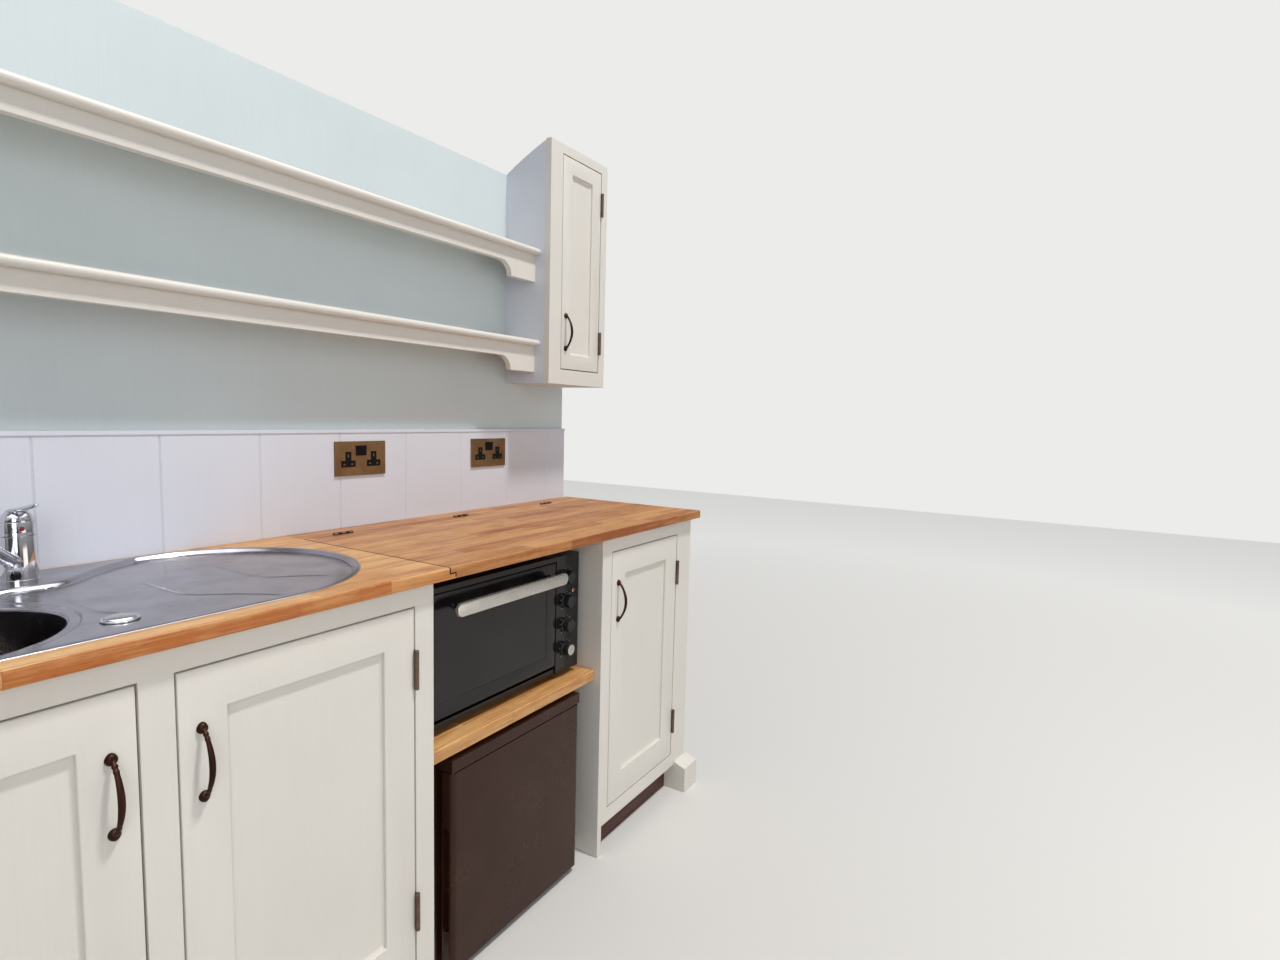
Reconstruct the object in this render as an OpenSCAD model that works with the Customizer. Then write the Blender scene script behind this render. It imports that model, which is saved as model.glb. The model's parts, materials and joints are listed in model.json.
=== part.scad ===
// Fitted kitchen wall of a shepherd's hut: sink cupboard, appliance bay with a mini oven
// over a fridge, narrow cupboard, wooden worktop with a lift-up flap, two shelves and a
// wall cupboard, all fixed to the lining of the hut's long side wall.
// X runs along the wall, +Y goes into the wall, +Z is up. The origin is on the floor,
// in the middle of the length and of the depth.

/* [Base run] */
// Width of each door opening of the sink cupboard
sink_open_w = 409.5; // [350:0.5:450]
// Width of the door opening of the narrow cupboard
narrow_open_w = 363; // [300:0.5:420]
// Width of the appliance bay
bay_w = 569.5; // [560:0.5:620]
// Width of the upright stiles of the face frames
stile_w = 43.5; // [35:0.5:60]
// Width of the plain post at the right end
post_w = 43.5; // [35:0.5:60]
// Height of the top and bottom rails of the face frames
rail_h = 41; // [30:0.5:55]
// Distance from the wall lining to the front of the face frames
base_d = 529; // [520:0.5:600]
// Thickness of the face frames
frame_t = 20; // [20:0.5:28]
// Thickness of the side panels and cupboard floors
panel_t = 18; // [12:0.5:22]
// Height of the recessed plinth
plinth_h = 81; // [60:0.5:110]
// How far the plinth stands back from the face frame
plinth_set = 33; // [26:0.5:60]
// Thickness of the plinth board
plinth_t = 15; // [10:0.5:20]

/* [Cupboard doors] */
// Thickness of the doors
door_t = 20; // [18:0.5:22]
// Gap between a door and its opening
door_gap = 3; // [3:0.1:4]
// Width of the door stiles and top rail
door_rail = 66; // [50:0.5:80]
// Height of the bottom rail of the doors
door_foot = 78; // [60:0.5:95]
// How far the door panel is set back
recess = 9; // [5:0.5:11]
// Thickness of the door panel
door_panel_t = 6; // [4:0.5:8]
// Width of the sloped fillet round the door panel
fillet_w = 5; // [3:0.5:7]
// Distance of a bow handle from the free edge of its door
handle_in = 30; // [22:0.5:33]
// Height of the middle of the base handles above the floor
handle_z = 698.5; // [560:0.5:740]
// Height of the middle of the upper hinges above the floor
hinge_top_z = 718; // [600:0.5:760]
// Height of the middle of the lower hinges above the floor
hinge_low_z = 236; // [200:0.5:300]

/* [Bow handles and butt hinges] */
// Distance between the feet of a bow handle
bow_c = 100; // [80:0.5:110]
// How far a bow handle stands out
bow_out = 30; // [26:0.5:36]
// Half the depth of the bar of a bow handle
bow_r = 3.7; // [3:0.1:5]
// How much wider than deep the bar is
bow_flat = 1.8; // [0:0.1:3]
// Radius of the domed feet of a bow handle
foot_r = 7; // [6:0.1:8]
// Height of the domed feet
foot_h = 4; // [3:0.1:5]
// How far the leaf tips of the feet reach past their domes
foot_tip = 6; // [5:0.5:8]
// Length of a butt hinge
hinge_l = 75; // [60:0.5:90]
// Radius of the knuckle of a butt hinge
knuckle_r = 4.5; // [3.5:0.1:5]
// Radius of the pin of a butt hinge
hinge_pin_r = 2; // [1.5:0.1:2.5]
// Thickness of a hinge leaf
leaf_t = 1.2; // [0.8:0.1:1.3]
// Width of a hinge leaf
leaf_w = 16; // [10:0.5:17]

/* [Worktop] */
// Height of the top of the worktop
worktop_z = 904; // [870:0.5:930]
// Thickness of the worktop
worktop_t = 24; // [20:0.5:32]
// Radius of the rounded front edges of the worktop and the bay shelf
edge_r = 3; // [1:0.5:5]
// How far the worktop stands out past the face frames
worktop_over = 23.5; // [10:0.5:35]
// How far the worktop stands out past both ends
end_over = 20; // [14:0.5:40]
// Distance of the flap's joint from the left side of the bay
joint_x = 20; // [10:0.5:40]
// Length of the half-lap at the flap's joint
lap_l = 15; // [8:0.5:25]
// Gap round the flap
flap_gap = 3; // [3:0.1:4]
// Distance from the wall lining to the hinge line of the flap
strip_d = 86; // [70:0.5:100]
// Length of a flap hinge
flap_hinge_l = 50; // [40:0.5:70]
// Distance of the first flap hinge from the flap's left end
flap_hinge_x = 100; // [80:0.5:140]
// Distance between the flap hinges
flap_hinge_step = 377; // [300:0.5:400]
// Height of the rear rail that carries the worktop
rear_rail_h = 45; // [30:0.5:60]
// Thickness of the rear rail
rear_rail_t = 20; // [15:0.5:30]

/* [Sink and tap] */
// Length of the sink
sink_l = 860; // [800:1:868]
// Distance of the sink's front edge behind the front of the face frames
sink_front = 12; // [0:0.5:20]
// Gap between the sink's rear edge and the splashback
sink_back = 5; // [2:0.5:10]
// Distance of the sink's right end from the left side of the bay, towards the left
sink_in = 26; // [10:0.5:40]
// Width of the flat rim
rim_w = 14; // [10:0.5:18]
// Thickness of the pressed steel
steel_t = 2; // [1.5:0.1:2.5]
// How far the drainer lies below the rim
drainer_drop = 8; // [5:0.5:10]
// Radius of the bowl at its mouth
bowl_r = 158; // [150:1:162]
// Depth of the bowl
bowl_h = 150; // [120:1:170]
// Radius of the rounded bottom of the bowl
bowl_round = 45; // [30:1:55]
// Width of the step round the bowl's mouth
step_w = 18; // [14:1:20]
// Width of the flange that joins the bowl to the drainer
flange_w = 26; // [22:1:28]
// Distance of the bowl's middle from the sink's left end
bowl_x = 226; // [215:1:240]
// Distance of the bowl's edge behind the sink's front edge
bowl_y = 47; // [44:1:56]
// Radius of the pressed ribs of the drainer, across
rib_r = 8; // [6:0.5:10]
// Height of the ribs
rib_h = 1.4; // [1:0.1:2]
// Radius of the bend of the ribs
rib_bend = 50; // [40:1:60]
// Radius of the waste hole
waste_r = 43; // [38:0.5:46]
// Radius of the tail under the waste
tail_r = 19; // [16:0.5:22]
// Radius of the trap's cup
trap_r = 32; // [28:0.5:38]
// Height of the trap's cup
trap_h = 100; // [80:1:120]
// Depth of the trap's underside below the bowl
trap_drop = 240; // [210:1:260]
// Radius of the waste pipe
pipe_r = 16; // [14:0.5:20]
// Depth of the waste pipe below the bowl
pipe_drop = 160; // [155:1:180]
// Distance of the stopper from the sink's left end
stopper_x = 416; // [404:1:440]
// Distance of the stopper behind the sink's front edge
stopper_y = 97; // [84:1:110]
// Radius of the stopper
stopper_r = 24; // [20:0.5:28]
// Distance of the tap from the sink's left end
tap_x = 404; // [396:1:412]
// Distance of the tap in front of the sink's rear edge
tap_y = 78; // [72:1:85]
// Radius of the tap's body
tap_r = 22.5; // [20:0.5:25]
// How much wider the tap's body is at its foot
tap_flare = 2; // [0:0.5:3]
// Height of the tap's body
tap_h = 77; // [70:0.5:90]
// Radius of the ball that carries the tap's lever
tap_ball_r = 21.5; // [18:0.5:22]
// Height of the tap's foot ring
tap_foot = 6; // [4:0.5:10]
// Radius of the post that the spout turns on
tap_post_r = 10; // [8:0.5:12]
// Radius of the stub that the cap turns on
tap_stub_r = 7; // [5:0.5:8]
// Height of the spout's root above the foot ring
spout_z = 20; // [16:0.5:30]
// Length of the spout's outlet
outlet_h = 26; // [16:0.5:36]
// Reach of the spout
spout_l = 195; // [170:1:210]
// Radius of the spout's tube
spout_r = 10.5; // [9:0.5:12]
// Radius of the bend at the spout's end
spout_bend = 18; // [13:0.5:22]
// Lean of the spout's outlet in degrees
spout_tip = 12; // [0:1:20]
// Rise of the spout in degrees
spout_rise = 28; // [20:1:32]
// Turn of the spout away from the front, towards the left, in degrees
spout_turn = 40; // [30:1:55]
// Reach of the lever
lever_l = 86; // [70:1:95]
// Radius of the lever's root on the ball
lever_root = 15; // [12:0.5:17]
// Radius of the lever's tip
lever_tip = 6; // [5:0.5:8]
// Thickness of the lever
lever_t = 5; // [4:0.5:7]
// Rise of the lever in degrees
lever_rise = 12; // [0:1:15]

/* [Mini oven] */
// Width of the oven
oven_w = 520; // [480:1:530]
// Height of the oven without its feet
oven_h = 304; // [280:1:312]
// Depth of the oven
oven_d = 360; // [330:1:400]
// Distance of the oven's front behind the front of the face frames
oven_set = 60; // [50:0.5:80]
// Radius of the small hotplate
plate_small_r = 78; // [70:1:84]
// Radius of the large hotplate
plate_large_r = 92; // [86:1:98]
// Width of the trim ring round a hotplate
plate_ring = 5; // [3:0.5:7]
// Height of the hotplates
plate_h = 9; // [6:0.5:12]
// Gap between the oven's left side and the bay
oven_x = 25; // [16:0.5:34]
// Height of the oven's feet
oven_foot = 15; // [10:0.5:18]
// Width of the control panel
control_w = 92; // [84:0.5:100]
// Thickness of the oven door
oven_door_t = 22; // [18:0.5:26]
// Height of the lower strip under the oven door
oven_base_h = 22; // [18:0.5:30]
// Height of the strip over the oven door
oven_head_h = 14; // [10:0.5:20]
// Radius of the round knobs
knob_r = 20; // [16:0.5:24]
// How far a knob stands out
knob_out = 22; // [16:0.5:26]
// Height of a knob's skirt
knob_skirt = 5; // [3:0.5:8]
// How much narrower a knob is than its skirt
knob_in_by = 2.5; // [1:0.5:4]
// Distance of the highest knob below the oven's top
knob_top = 56.5; // [50:0.5:64]
// Height of the lowest knob above the oven's underside
knob_low = 58.5; // [50:0.5:64]
// Distance of the knobs from the oven's right side
knob_in = 55; // [44:0.5:60]
// Distance of the oven's bar handle below the top of its door
bar_drop = 33; // [24:0.5:50]
// How far the oven's bar handle stands out
bar_out = 41; // [32:0.5:50]
// Width of the oven's bar handle
bar_w = 367; // [300:1:380]
// Height of the oven's bar handle
bar_h = 29; // [20:0.5:32]

/* [Fridge] */
// Width of the fridge
fridge_w = 436; // [420:1:450]
// Gap between the fridge's top and the bay shelf
fridge_room = 11; // [6:0.5:20]
// Gap between the fridge's back and the wall lining
fridge_gap = 42; // [30:0.5:60]
// Distance of the fridge's front behind the front of the face frames
fridge_set = 17; // [8:0.5:20]
// Gap between the fridge's left side and the bay
fridge_x = 64; // [50:0.5:80]
// Height of the fridge's top
fridge_top_h = 26; // [22:0.5:36]
// Height of the fridge's feet
fridge_foot = 12; // [8:0.5:16]
// Thickness of the fridge door
fridge_door_t = 40; // [36:0.5:46]
// Height of the lower end of the grip in the door's edge
grip_z = 104; // [80:1:140]
// Length of the grip in the door's edge
grip_h = 230; // [180:1:260]
// Width of the grip in the door's edge
grip_w = 20; // [16:0.5:22]
// Depth of the grip in the door's edge
grip_deep = 16; // [12:0.5:20]
// Thickness of the door seal
seal_t = 8; // [7:0.5:10]
// Thickness of the fridge's walls
fridge_wall = 32; // [28:0.5:40]

/* [Bay shelf] */
// Gap between the oven's top and the underside of the worktop
oven_room = 37; // [30:0.5:50]
// Thickness of the bay shelf
bay_shelf_t = 28; // [18:0.5:32]
// How far the bay shelf stands back from the front of the face frames
bay_shelf_set = 20; // [0:0.5:40]

/* [Wall, splashback and sockets] */
// Thickness of the wall lining
lining_t = 12; // [9:0.5:18]
// Depth of the wall's studs behind the lining
stud_d = 45; // [38:0.5:70]
// Width of the wall's studs
stud_w = 45; // [38:0.5:70]
// Number of studs
stud_count = 5; // [4:1:7]
// Height of the wall lining under the eaves
wall_h = 1936; // [1900:1:2050]
// Radius of the arched ceiling that the wall cupboard follows
arch_r = 1100; // [900:5:1400]
// Slope of the arched ceiling where it meets the wall, in degrees
arch_slope = 31; // [25:0.5:36]
// Thickness of the splashback boards
splash_t = 12; // [9:0.5:16]
// Height of the top of the splashback
splash_top = 1149; // [1140:0.5:1200]
// Width of a splashback board
board_w = 200; // [120:1:220]
// Distance of one groove from the left side of the bay, towards the left
board_first = 33; // [10:1:60]
// Size of the V groove between boards
groove = 3; // [2:0.1:4]
// Height of the cap strip on the splashback
cap_h = 8; // [6:0.5:12]
// Width of a socket plate
socket_w = 146; // [140:0.5:150]
// Height of a socket plate
socket_h = 86; // [80:0.5:90]
// Thickness of a socket plate
socket_t = 5; // [4:0.5:7]
// Width of a socket's dark insert
insert_w = 40; // [36:0.5:44]
// Distance of the two inserts of a plate
insert_step = 74; // [70:0.5:80]
// Thickness of the sockets' inner plates
insert_t = 1; // [0.8:0.1:2]
// Height of the bottom of the sockets
socket_z = 1034; // [1000:1:1040]
// Distance of the left socket from the left side of the bay
socket_a = 150; // [120:1:180]
// Distance between the sockets
socket_step = 457; // [400:1:500]

/* [Shelves] */
// Height of the underside of the lower shelf
shelf_z = 1407.5; // [1390:0.5:1430]
// Distance between the two shelves
shelf_step = 272.5; // [240:0.5:290]
// Thickness of a shelf board
shelf_t = 18; // [15:0.5:24]
// Depth of a shelf board
shelf_d = 141.5; // [130:0.5:160]
// How far a shelf board stands out past its fascia
nosing = 20.5; // [12:0.5:28]
// Thickness of a fascia
fascia_t = 18; // [12:0.5:20]
// Height of a fascia
fascia_h = 38.5; // [30:0.5:50]
// How far a fascia drops at its ends
fascia_drop = 41; // [30:0.5:46]
// Width of the dropped ends
fascia_end_w = 108; // [80:0.5:130]

/* [Wall cupboard] */
// Width of the wall cupboard
wall_cup_w = 294; // [280:0.5:340]
// Depth of the wall cupboard
wall_cup_d = 177; // [165:0.5:200]
// Height of its underside
wall_cup_z = 1294; // [1285:0.5:1300]
// Height of the top of its front
wall_cup_top = 2018; // [1980:0.5:2018]
// Width of its door opening
wall_open_w = 205; // [180:0.5:215]
// Width of its right stile
wall_stile_r = 32; // [26:0.5:40]
// Height of its bottom rail
wall_rail_low = 46; // [36:0.5:56]
// Height of its top rail
wall_rail_top = 28; // [20:0.5:40]
// Thickness of its frame
wall_frame_t = 20; // [20:0.5:24]
// Thickness of its sides
wall_side_t = 16; // [12:0.5:20]
// Width of the stiles of its door
wall_door_rail = 47; // [36:0.5:56]
// Height of the middle of its handle
wall_handle_z = 1457; // [1430:0.5:1500]
// Distance of its handle from the free edge of its door
wall_handle_in = 20; // [16:0.5:30]
// Height of the middle of its lower hinge
wall_hinge_low_z = 1438; // [1420:0.5:1500]
// Height of the middle of its upper hinge
wall_hinge_top_z = 1888; // [1800:0.5:1910]

/* [Skirting block] */
// Width of the skirting block at the right end
block_w = 80; // [64:0.5:90]
// How far the block stands out past the face frame
block_out = 42; // [36:0.5:50]
// How far the block stands out past the right end
block_end = 12.5; // [0:0.5:18]
// Height of the block's front
block_h = 78; // [60:0.5:90]
// Height of the block's bevel
block_bevel = 14; // [8:0.5:20]

/* [Hidden] */
$fn = 48;
seat = 0.3;
fit = 0.05;
tiny = 0.01;

run_w = 2 * sink_open_w + 5 * stile_w + bay_w + narrow_open_w + post_w;
back_reach = lining_t + stud_d;
front_reach = base_d + block_out;
wall_y = (front_reach - back_reach) / 2;
left = -run_w / 2;
right = run_w / 2;
front = wall_y - base_d;
top_under = worktop_z - worktop_t;
open_low = plinth_h + rail_h;
open_top = top_under - rail_h;
sink_a = left + stile_w;
sink_b = sink_a + sink_open_w + stile_w;
bay_l = sink_b + sink_open_w + stile_w;
bay_r = bay_l + bay_w;
narrow_l = bay_r;
narrow_a = narrow_l + stile_w;
narrow_r = narrow_a + narrow_open_w + stile_w;
top_front = front - worktop_over;
splash_y = wall_y - splash_t;

joint = bay_l + joint_x;
hinge_y = wall_y - strip_d;
flap_r = right + end_over;
flap_hinges = [for (i = [0:2]) joint + flap_hinge_x + i * flap_hinge_step];
flap_pin_z = worktop_z + 1;

knuckle_out = knuckle_r + 0.5;
hinge_front = front - knuckle_out;

wall_cup_r = right;
wall_cup_l = right - wall_cup_w;
wall_open_r = wall_cup_r - wall_stile_r;
wall_open_l = wall_open_r - wall_open_w;
wall_cup_front = wall_y - wall_cup_d;
wall_hinge_front = wall_cup_front - knuckle_out;
wall_open_z = wall_cup_z + wall_rail_low;
wall_open_top = wall_cup_top - wall_rail_top;

sink_r = bay_l - sink_in;
sink_left = sink_r - sink_l;
sink_d = base_d - splash_t - sink_back - sink_front;
sink_mid = splash_y - sink_back - sink_d / 2;
bowl_c = [sink_left + bowl_x, sink_mid - sink_d / 2 + bowl_y + bowl_r];
tap_c = [sink_left + tap_x, sink_mid + sink_d / 2 - tap_y];
rim_top = worktop_z + steel_t;
drainer_z = rim_top - drainer_drop;
bowl_floor = drainer_z - bowl_h;

oven_l = bay_l + oven_x;
oven_r = oven_l + oven_w;
oven_front = front + oven_set;
oven_top = top_under - oven_room;
oven_z = oven_top - oven_h;
bay_shelf_z = oven_z - oven_foot;
oven_door_z = oven_z + oven_base_h;
oven_door_top = oven_top - oven_head_h;
oven_panel_l = oven_r - control_w;
oven_door_l = oven_l + 6;
oven_door_r = oven_panel_l - 2;
oven_body_front = oven_front + oven_door_t + 5;
oven_pin_z = oven_door_z + 7;
oven_pin_y = oven_front + oven_door_t / 2;
knob_x = oven_r - knob_in;
knob_low_z = oven_z + knob_low;
knob_step = (oven_h - knob_low - knob_top) / 3;

fridge_l = bay_l + fridge_x;
fridge_r = fridge_l + fridge_w;
fridge_front = front + fridge_set;
fridge_h = bay_shelf_z - bay_shelf_t - fridge_room;
fridge_door_z = fridge_foot + 6;
fridge_door_top = fridge_h - fridge_top_h - 3;
fridge_body_front = fridge_front + fridge_door_t + seal_t + seat;
fridge_back = wall_y - fridge_gap;
fridge_pin = [fridge_r - 18, fridge_front + fridge_door_t - 14];
fridge_corner = 12;

cream = [0.85, 0.83, 0.80];
boards_white = [0.80, 0.80, 0.84];
sage = [0.78, 0.82, 0.78];
timber = [0.80, 0.66, 0.46];
oak = [0.76, 0.53, 0.32];
bronze = [0.24, 0.14, 0.12];
steel = [0.62, 0.62, 0.65];
chrome_grey = [0.80, 0.80, 0.82];
black = [0.05, 0.05, 0.06];
plinth_brown = [0.25, 0.13, 0.11];

// A flat outline in X and Z, stood up from y0 to y0 + t
module upright(y0, t) {
    translate([0, y0 + t, 0]) rotate([90, 0, 0]) linear_extrude(t) children();
}

// A rectangle given by its lowest and highest corners
module panel2d(x0, x1, z0, z1) {
    translate([x0, z0]) square([x1 - x0, z1 - z0]);
}

// A box given by its lowest and highest corners
module block(lo, hi) {
    translate(lo) cube(hi - lo);
}

// Height of the arched ceiling at a distance d in front of the wall
function arch_z(d) = wall_h - arch_r * cos(arch_slope)
    + sqrt(arch_r * arch_r - pow(arch_r * sin(arch_slope) - d, 2));

module wall_lining() {
    color(sage) block([left, wall_y, 0], [right, wall_y + lining_t, wall_h]);
}

module wall_studs() {
    y0 = wall_y + lining_t;
    step = (run_w - stud_w) / (stud_count - 1);
    color(timber) {
        block([left, y0, 0], [right, y0 + stud_d, stud_w]);
        block([left, y0, wall_h - stud_w], [right, y0 + stud_d, wall_h]);
        for (i = [0:stud_count - 1])
            translate([left + i * step, y0, stud_w - tiny])
                cube([stud_w, stud_d, wall_h - 2 * stud_w + 2 * tiny]);
    }
}

// Boards side by side with a V groove at each joint, seen from above
module grooved2d(x0, x1, y_face, t, pitch, first) {
    difference() {
        translate([x0, y_face]) square([x1 - x0, t]);
        for (i = [-20:20]) let (x = first + i * pitch)
            if (x > x0 + groove && x < x1 - groove)
                translate([x, y_face]) rotate(45) square(groove, center = true);
    }
}

module splashback() {
    color(boards_white) {
        translate([0, 0, worktop_z]) linear_extrude(splash_top - cap_h - worktop_z)
            grooved2d(left, right, splash_y, splash_t, board_w, bay_l - board_first);
        block([left, splash_y - 2, splash_top - cap_h], [right, wall_y, splash_top]);
    }
}

module socket_plate(x) {
    block([x, splash_y - socket_t, socket_z], [x + socket_w, splash_y, socket_z + socket_h]);
}

module sockets() {
    color(bronze) for (i = [0, 1]) socket_plate(bay_l + socket_a + i * socket_step);
}

// A dark insert with the slots for the plug's pins, its middle at the bottom of the plate
module socket_insert2d() {
    difference() {
        union() {
            translate([-insert_w / 2, 22]) square([insert_w, 16]);
            translate([-8, 37]) square([16, 23]);
        }
        translate([-2, 46]) square([4, 8.5]);
        for (s = [-1, 1]) translate([s * 11 - 3.25, 27]) square([6.5, 4]);
    }
}

// A rocker switch, whose lower half is pressed in
module rocker(x, y) {
    translate([x - 7, y, socket_z + 50]) rotate([90, 0, 90]) linear_extrude(14)
        polygon([[0, 0], [-1.6, 0], [-2.2, 12.5], [-4, 25], [0, 25]]);
}

// Dark inner plates of the sockets with their switches
module socket_inserts() {
    y0 = splash_y - socket_t;
    color(black) for (i = [0, 1]) let (x = bay_l + socket_a + i * socket_step + socket_w / 2)
        for (s = [-1, 1]) {
            upright(y0 - insert_t, insert_t) translate([x + s * insert_step / 2, socket_z])
                socket_insert2d();
            rocker(x + s * 7.5, y0);
        }
}

// A shelf board with a round nose along its front edge
module shelf(z) {
    r = shelf_t / 2;
    color(cream) {
        block([left, wall_y - shelf_d + r, z], [wall_cup_l, wall_y, z + shelf_t]);
        translate([left, wall_y - shelf_d + r, z + r]) rotate([0, 90, 0])
            cylinder(r = r, h = wall_cup_l - left);
    }
}

// The lower edge of a fascia sweeps down in a quarter round to a dropped end
module fascia_end2d(x_end, side) {
    r = fascia_drop;
    mirror([side < 0 ? 0 : 1, 0]) translate([side < 0 ? x_end : -x_end, 0]) {
        translate([0, -fascia_h - r]) square([fascia_end_w, r + fascia_h / 2]);
        translate([fascia_end_w - tiny, -fascia_h - r]) difference() {
            square([r, r + fascia_h / 2]);
            translate([r, 0]) circle(r = r, $fn = 96);
            translate([r / 2, -1]) square([r, 1 + tiny]);
        }
    }
}

module fascia(z) {
    color(cream) upright(wall_y - shelf_d + nosing, fascia_t) translate([0, z]) {
        translate([left, -fascia_h]) square([wall_cup_l - left, fascia_h]);
        fascia_end2d(left, -1);
        fascia_end2d(wall_cup_l, 1);
    }
}

// Side of the wall cupboard, whose top follows the arched ceiling
module wall_cupboard_side(x) {
    steps = 12;
    depth = wall_cup_d - wall_frame_t;
    outline = concat([[0, wall_cup_z]],
        [for (i = [0:steps]) let (d = depth * i / steps) [-d, arch_z(d)]],
        [[-depth, wall_cup_z]]);
    translate([x, wall_y, 0]) rotate([90, 0, 90]) linear_extrude(wall_side_t) polygon(outline);
}

module wall_cupboard_sides() {
    color(boards_white) {
        wall_cupboard_side(wall_cup_l);
        wall_cupboard_side(wall_cup_r - wall_side_t);
    }
}

module wall_cupboard_bottom() {
    color(cream) block([wall_cup_l + wall_side_t, wall_cup_front + wall_frame_t, wall_cup_z],
        [wall_cup_r - wall_side_t, wall_y, wall_cup_z + 15]);
}

module wall_cupboard_top() {
    steps = 12;
    board = 10;
    depth = wall_cup_d - wall_frame_t;
    outline = concat([for (i = [0:steps]) let (d = depth * i / steps) [-d, arch_z(d)]],
        [for (i = [steps:-1:0]) let (d = depth * i / steps) [-d, arch_z(d) - board]]);
    color(boards_white) translate([wall_cup_l + wall_side_t, wall_y, 0]) rotate([90, 0, 90])
        linear_extrude(wall_cup_w - 2 * wall_side_t) polygon(outline);
}

module wall_cupboard_frame() {
    color(cream) upright(wall_cup_front, wall_frame_t) difference() {
        panel2d(wall_cup_l, wall_cup_r, wall_cup_z, wall_cup_top);
        panel2d(wall_open_l, wall_open_r, wall_open_z, wall_open_top);
    }
}

module left_end_panel() {
    color(cream) block([left, front + frame_t, 0], [left + panel_t, wall_y, top_under]);
}

module bay_side_panel() {
    color(cream) block([bay_l - panel_t, front + frame_t, 0], [bay_l, wall_y, top_under]);
}

// The divider stands behind the stile, and its foot comes forward under it
module divider() {
    color(cream) {
        block([bay_r, front + frame_t, 0], [bay_r + panel_t, wall_y, top_under]);
        block([bay_r, front, 0], [bay_r + panel_t, front + frame_t + tiny, plinth_h]);
    }
}

module right_end_panel() {
    color(cream) {
        block([right - panel_t, front + frame_t - tiny, 0], [right, wall_y, top_under]);
        block([narrow_r, front, 0], [right, front + frame_t, top_under]);
    }
}

module cupboard_floors() {
    color(cream) {
        block([left + panel_t, front + frame_t, open_low - panel_t],
            [bay_l - panel_t, wall_y, open_low]);
        block([narrow_l + panel_t, front + frame_t, open_low - panel_t],
            [right - panel_t, wall_y, open_low]);
    }
}

module rear_rail() {
    color(timber) {
        block([left + panel_t, wall_y - rear_rail_t, top_under - rear_rail_h],
            [bay_l - panel_t, wall_y, top_under]);
        block([bay_l, wall_y - rear_rail_t, top_under - rear_rail_h],
            [bay_r, wall_y, top_under]);
        block([narrow_l + panel_t, wall_y - rear_rail_t, top_under - rear_rail_h],
            [right - panel_t, wall_y, top_under]);
    }
}

module face_frame_left() {
    color(cream) upright(front, frame_t) difference() {
        panel2d(left, bay_l, plinth_h, top_under);
        panel2d(sink_a, sink_a + sink_open_w, open_low, open_top);
        panel2d(sink_b, sink_b + sink_open_w, open_low, open_top);
    }
}

module face_frame_right() {
    color(cream) upright(front, frame_t) difference() {
        panel2d(narrow_l, narrow_r, plinth_h, top_under);
        panel2d(narrow_a, narrow_a + narrow_open_w, open_low, open_top);
    }
}

module plinth() {
    y0 = front + plinth_set;
    color(plinth_brown) {
        block([left + panel_t, y0, 0], [bay_l - panel_t, y0 + plinth_t, plinth_h]);
        block([narrow_l + panel_t, y0, 0], [right - panel_t, y0 + plinth_t, plinth_h]);
    }
}

module skirting_block() {
    x0 = right + block_end - block_w;
    outline = [[0, 0], [0, block_h], [block_out, block_h + block_bevel], [block_out, 0]];
    color(cream) {
        translate([x0, front - block_out, 0]) rotate([90, 0, 90])
            linear_extrude(block_w) polygon(outline);
        block([x0, front - tiny, 0], [narrow_r, front + plinth_set, plinth_h]);
    }
}

module bay_shelf() {
    color(oak) board(bay_l, bay_r, front + bay_shelf_set, wall_y, bay_shelf_z - bay_shelf_t,
        bay_shelf_z);
}

// Outline of the sink, drawn in by a margin: two half circles joined by straight edges
module sink2d(margin) {
    r = sink_d / 2;
    for (x = [sink_left + r, sink_r - r])
        translate([x, sink_mid]) circle(r = r - margin, $fn = 128);
    translate([sink_left + r, sink_mid - r + margin])
        square([sink_l - 2 * r, 2 * (r - margin)]);
}

// A board along X whose front edge is rounded above and below
module board(x0, x1, y0, y1, z0, z1) {
    translate([x0, 0, 0]) rotate([90, 0, 90]) linear_extrude(x1 - x0) {
        translate([y0 + edge_r, z0]) square([y1 - y0 - edge_r, z1 - z0]);
        translate([y0, z0 + edge_r]) square([2 * edge_r, z1 - z0 - 2 * edge_r]);
        for (z = [z0 + edge_r, z1 - edge_r]) translate([y0 + edge_r, z]) circle(r = edge_r);
    }
}

module worktop_left() {
    half = worktop_t / 2;
    color(oak) difference() {
        union() {
            board(left - end_over, joint, top_front, splash_y, top_under, worktop_z);
            intersection() {
                board(left - end_over, joint + lap_l, top_front, hinge_y - flap_gap, top_under,
                    worktop_z);
                block([left - end_over, top_front - 1, top_under - 1],
                    [joint + lap_l, splash_y, top_under + half - seat]);
            }
        }
        translate([0, 0, top_under - 1]) linear_extrude(worktop_t + 2) sink2d(rim_w - 4);
    }
}

// Room for the knuckles of the flap's hinges
module flap_knuckle_room() {
    for (x = flap_hinges)
        translate([x - flap_hinge_l / 2 - seat, hinge_y, flap_pin_z]) rotate([0, 90, 0])
            cylinder(r = knuckle_r + seat, h = flap_hinge_l + 2 * seat);
}

module worktop_strip() {
    color(oak) difference() {
        block([joint, hinge_y + flap_gap / 2, top_under], [flap_r, splash_y, worktop_z]);
        flap_knuckle_room();
    }
}

module worktop_flap() {
    half = worktop_t / 2;
    color(oak) difference() {
        board(joint + 0.5, flap_r, top_front, hinge_y - flap_gap / 2, top_under, worktop_z);
        block([joint - 1, top_front - 1, top_under - 1],
            [joint + lap_l + 0.5, hinge_y, top_under + half]);
        flap_knuckle_room();
    }
}

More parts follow.
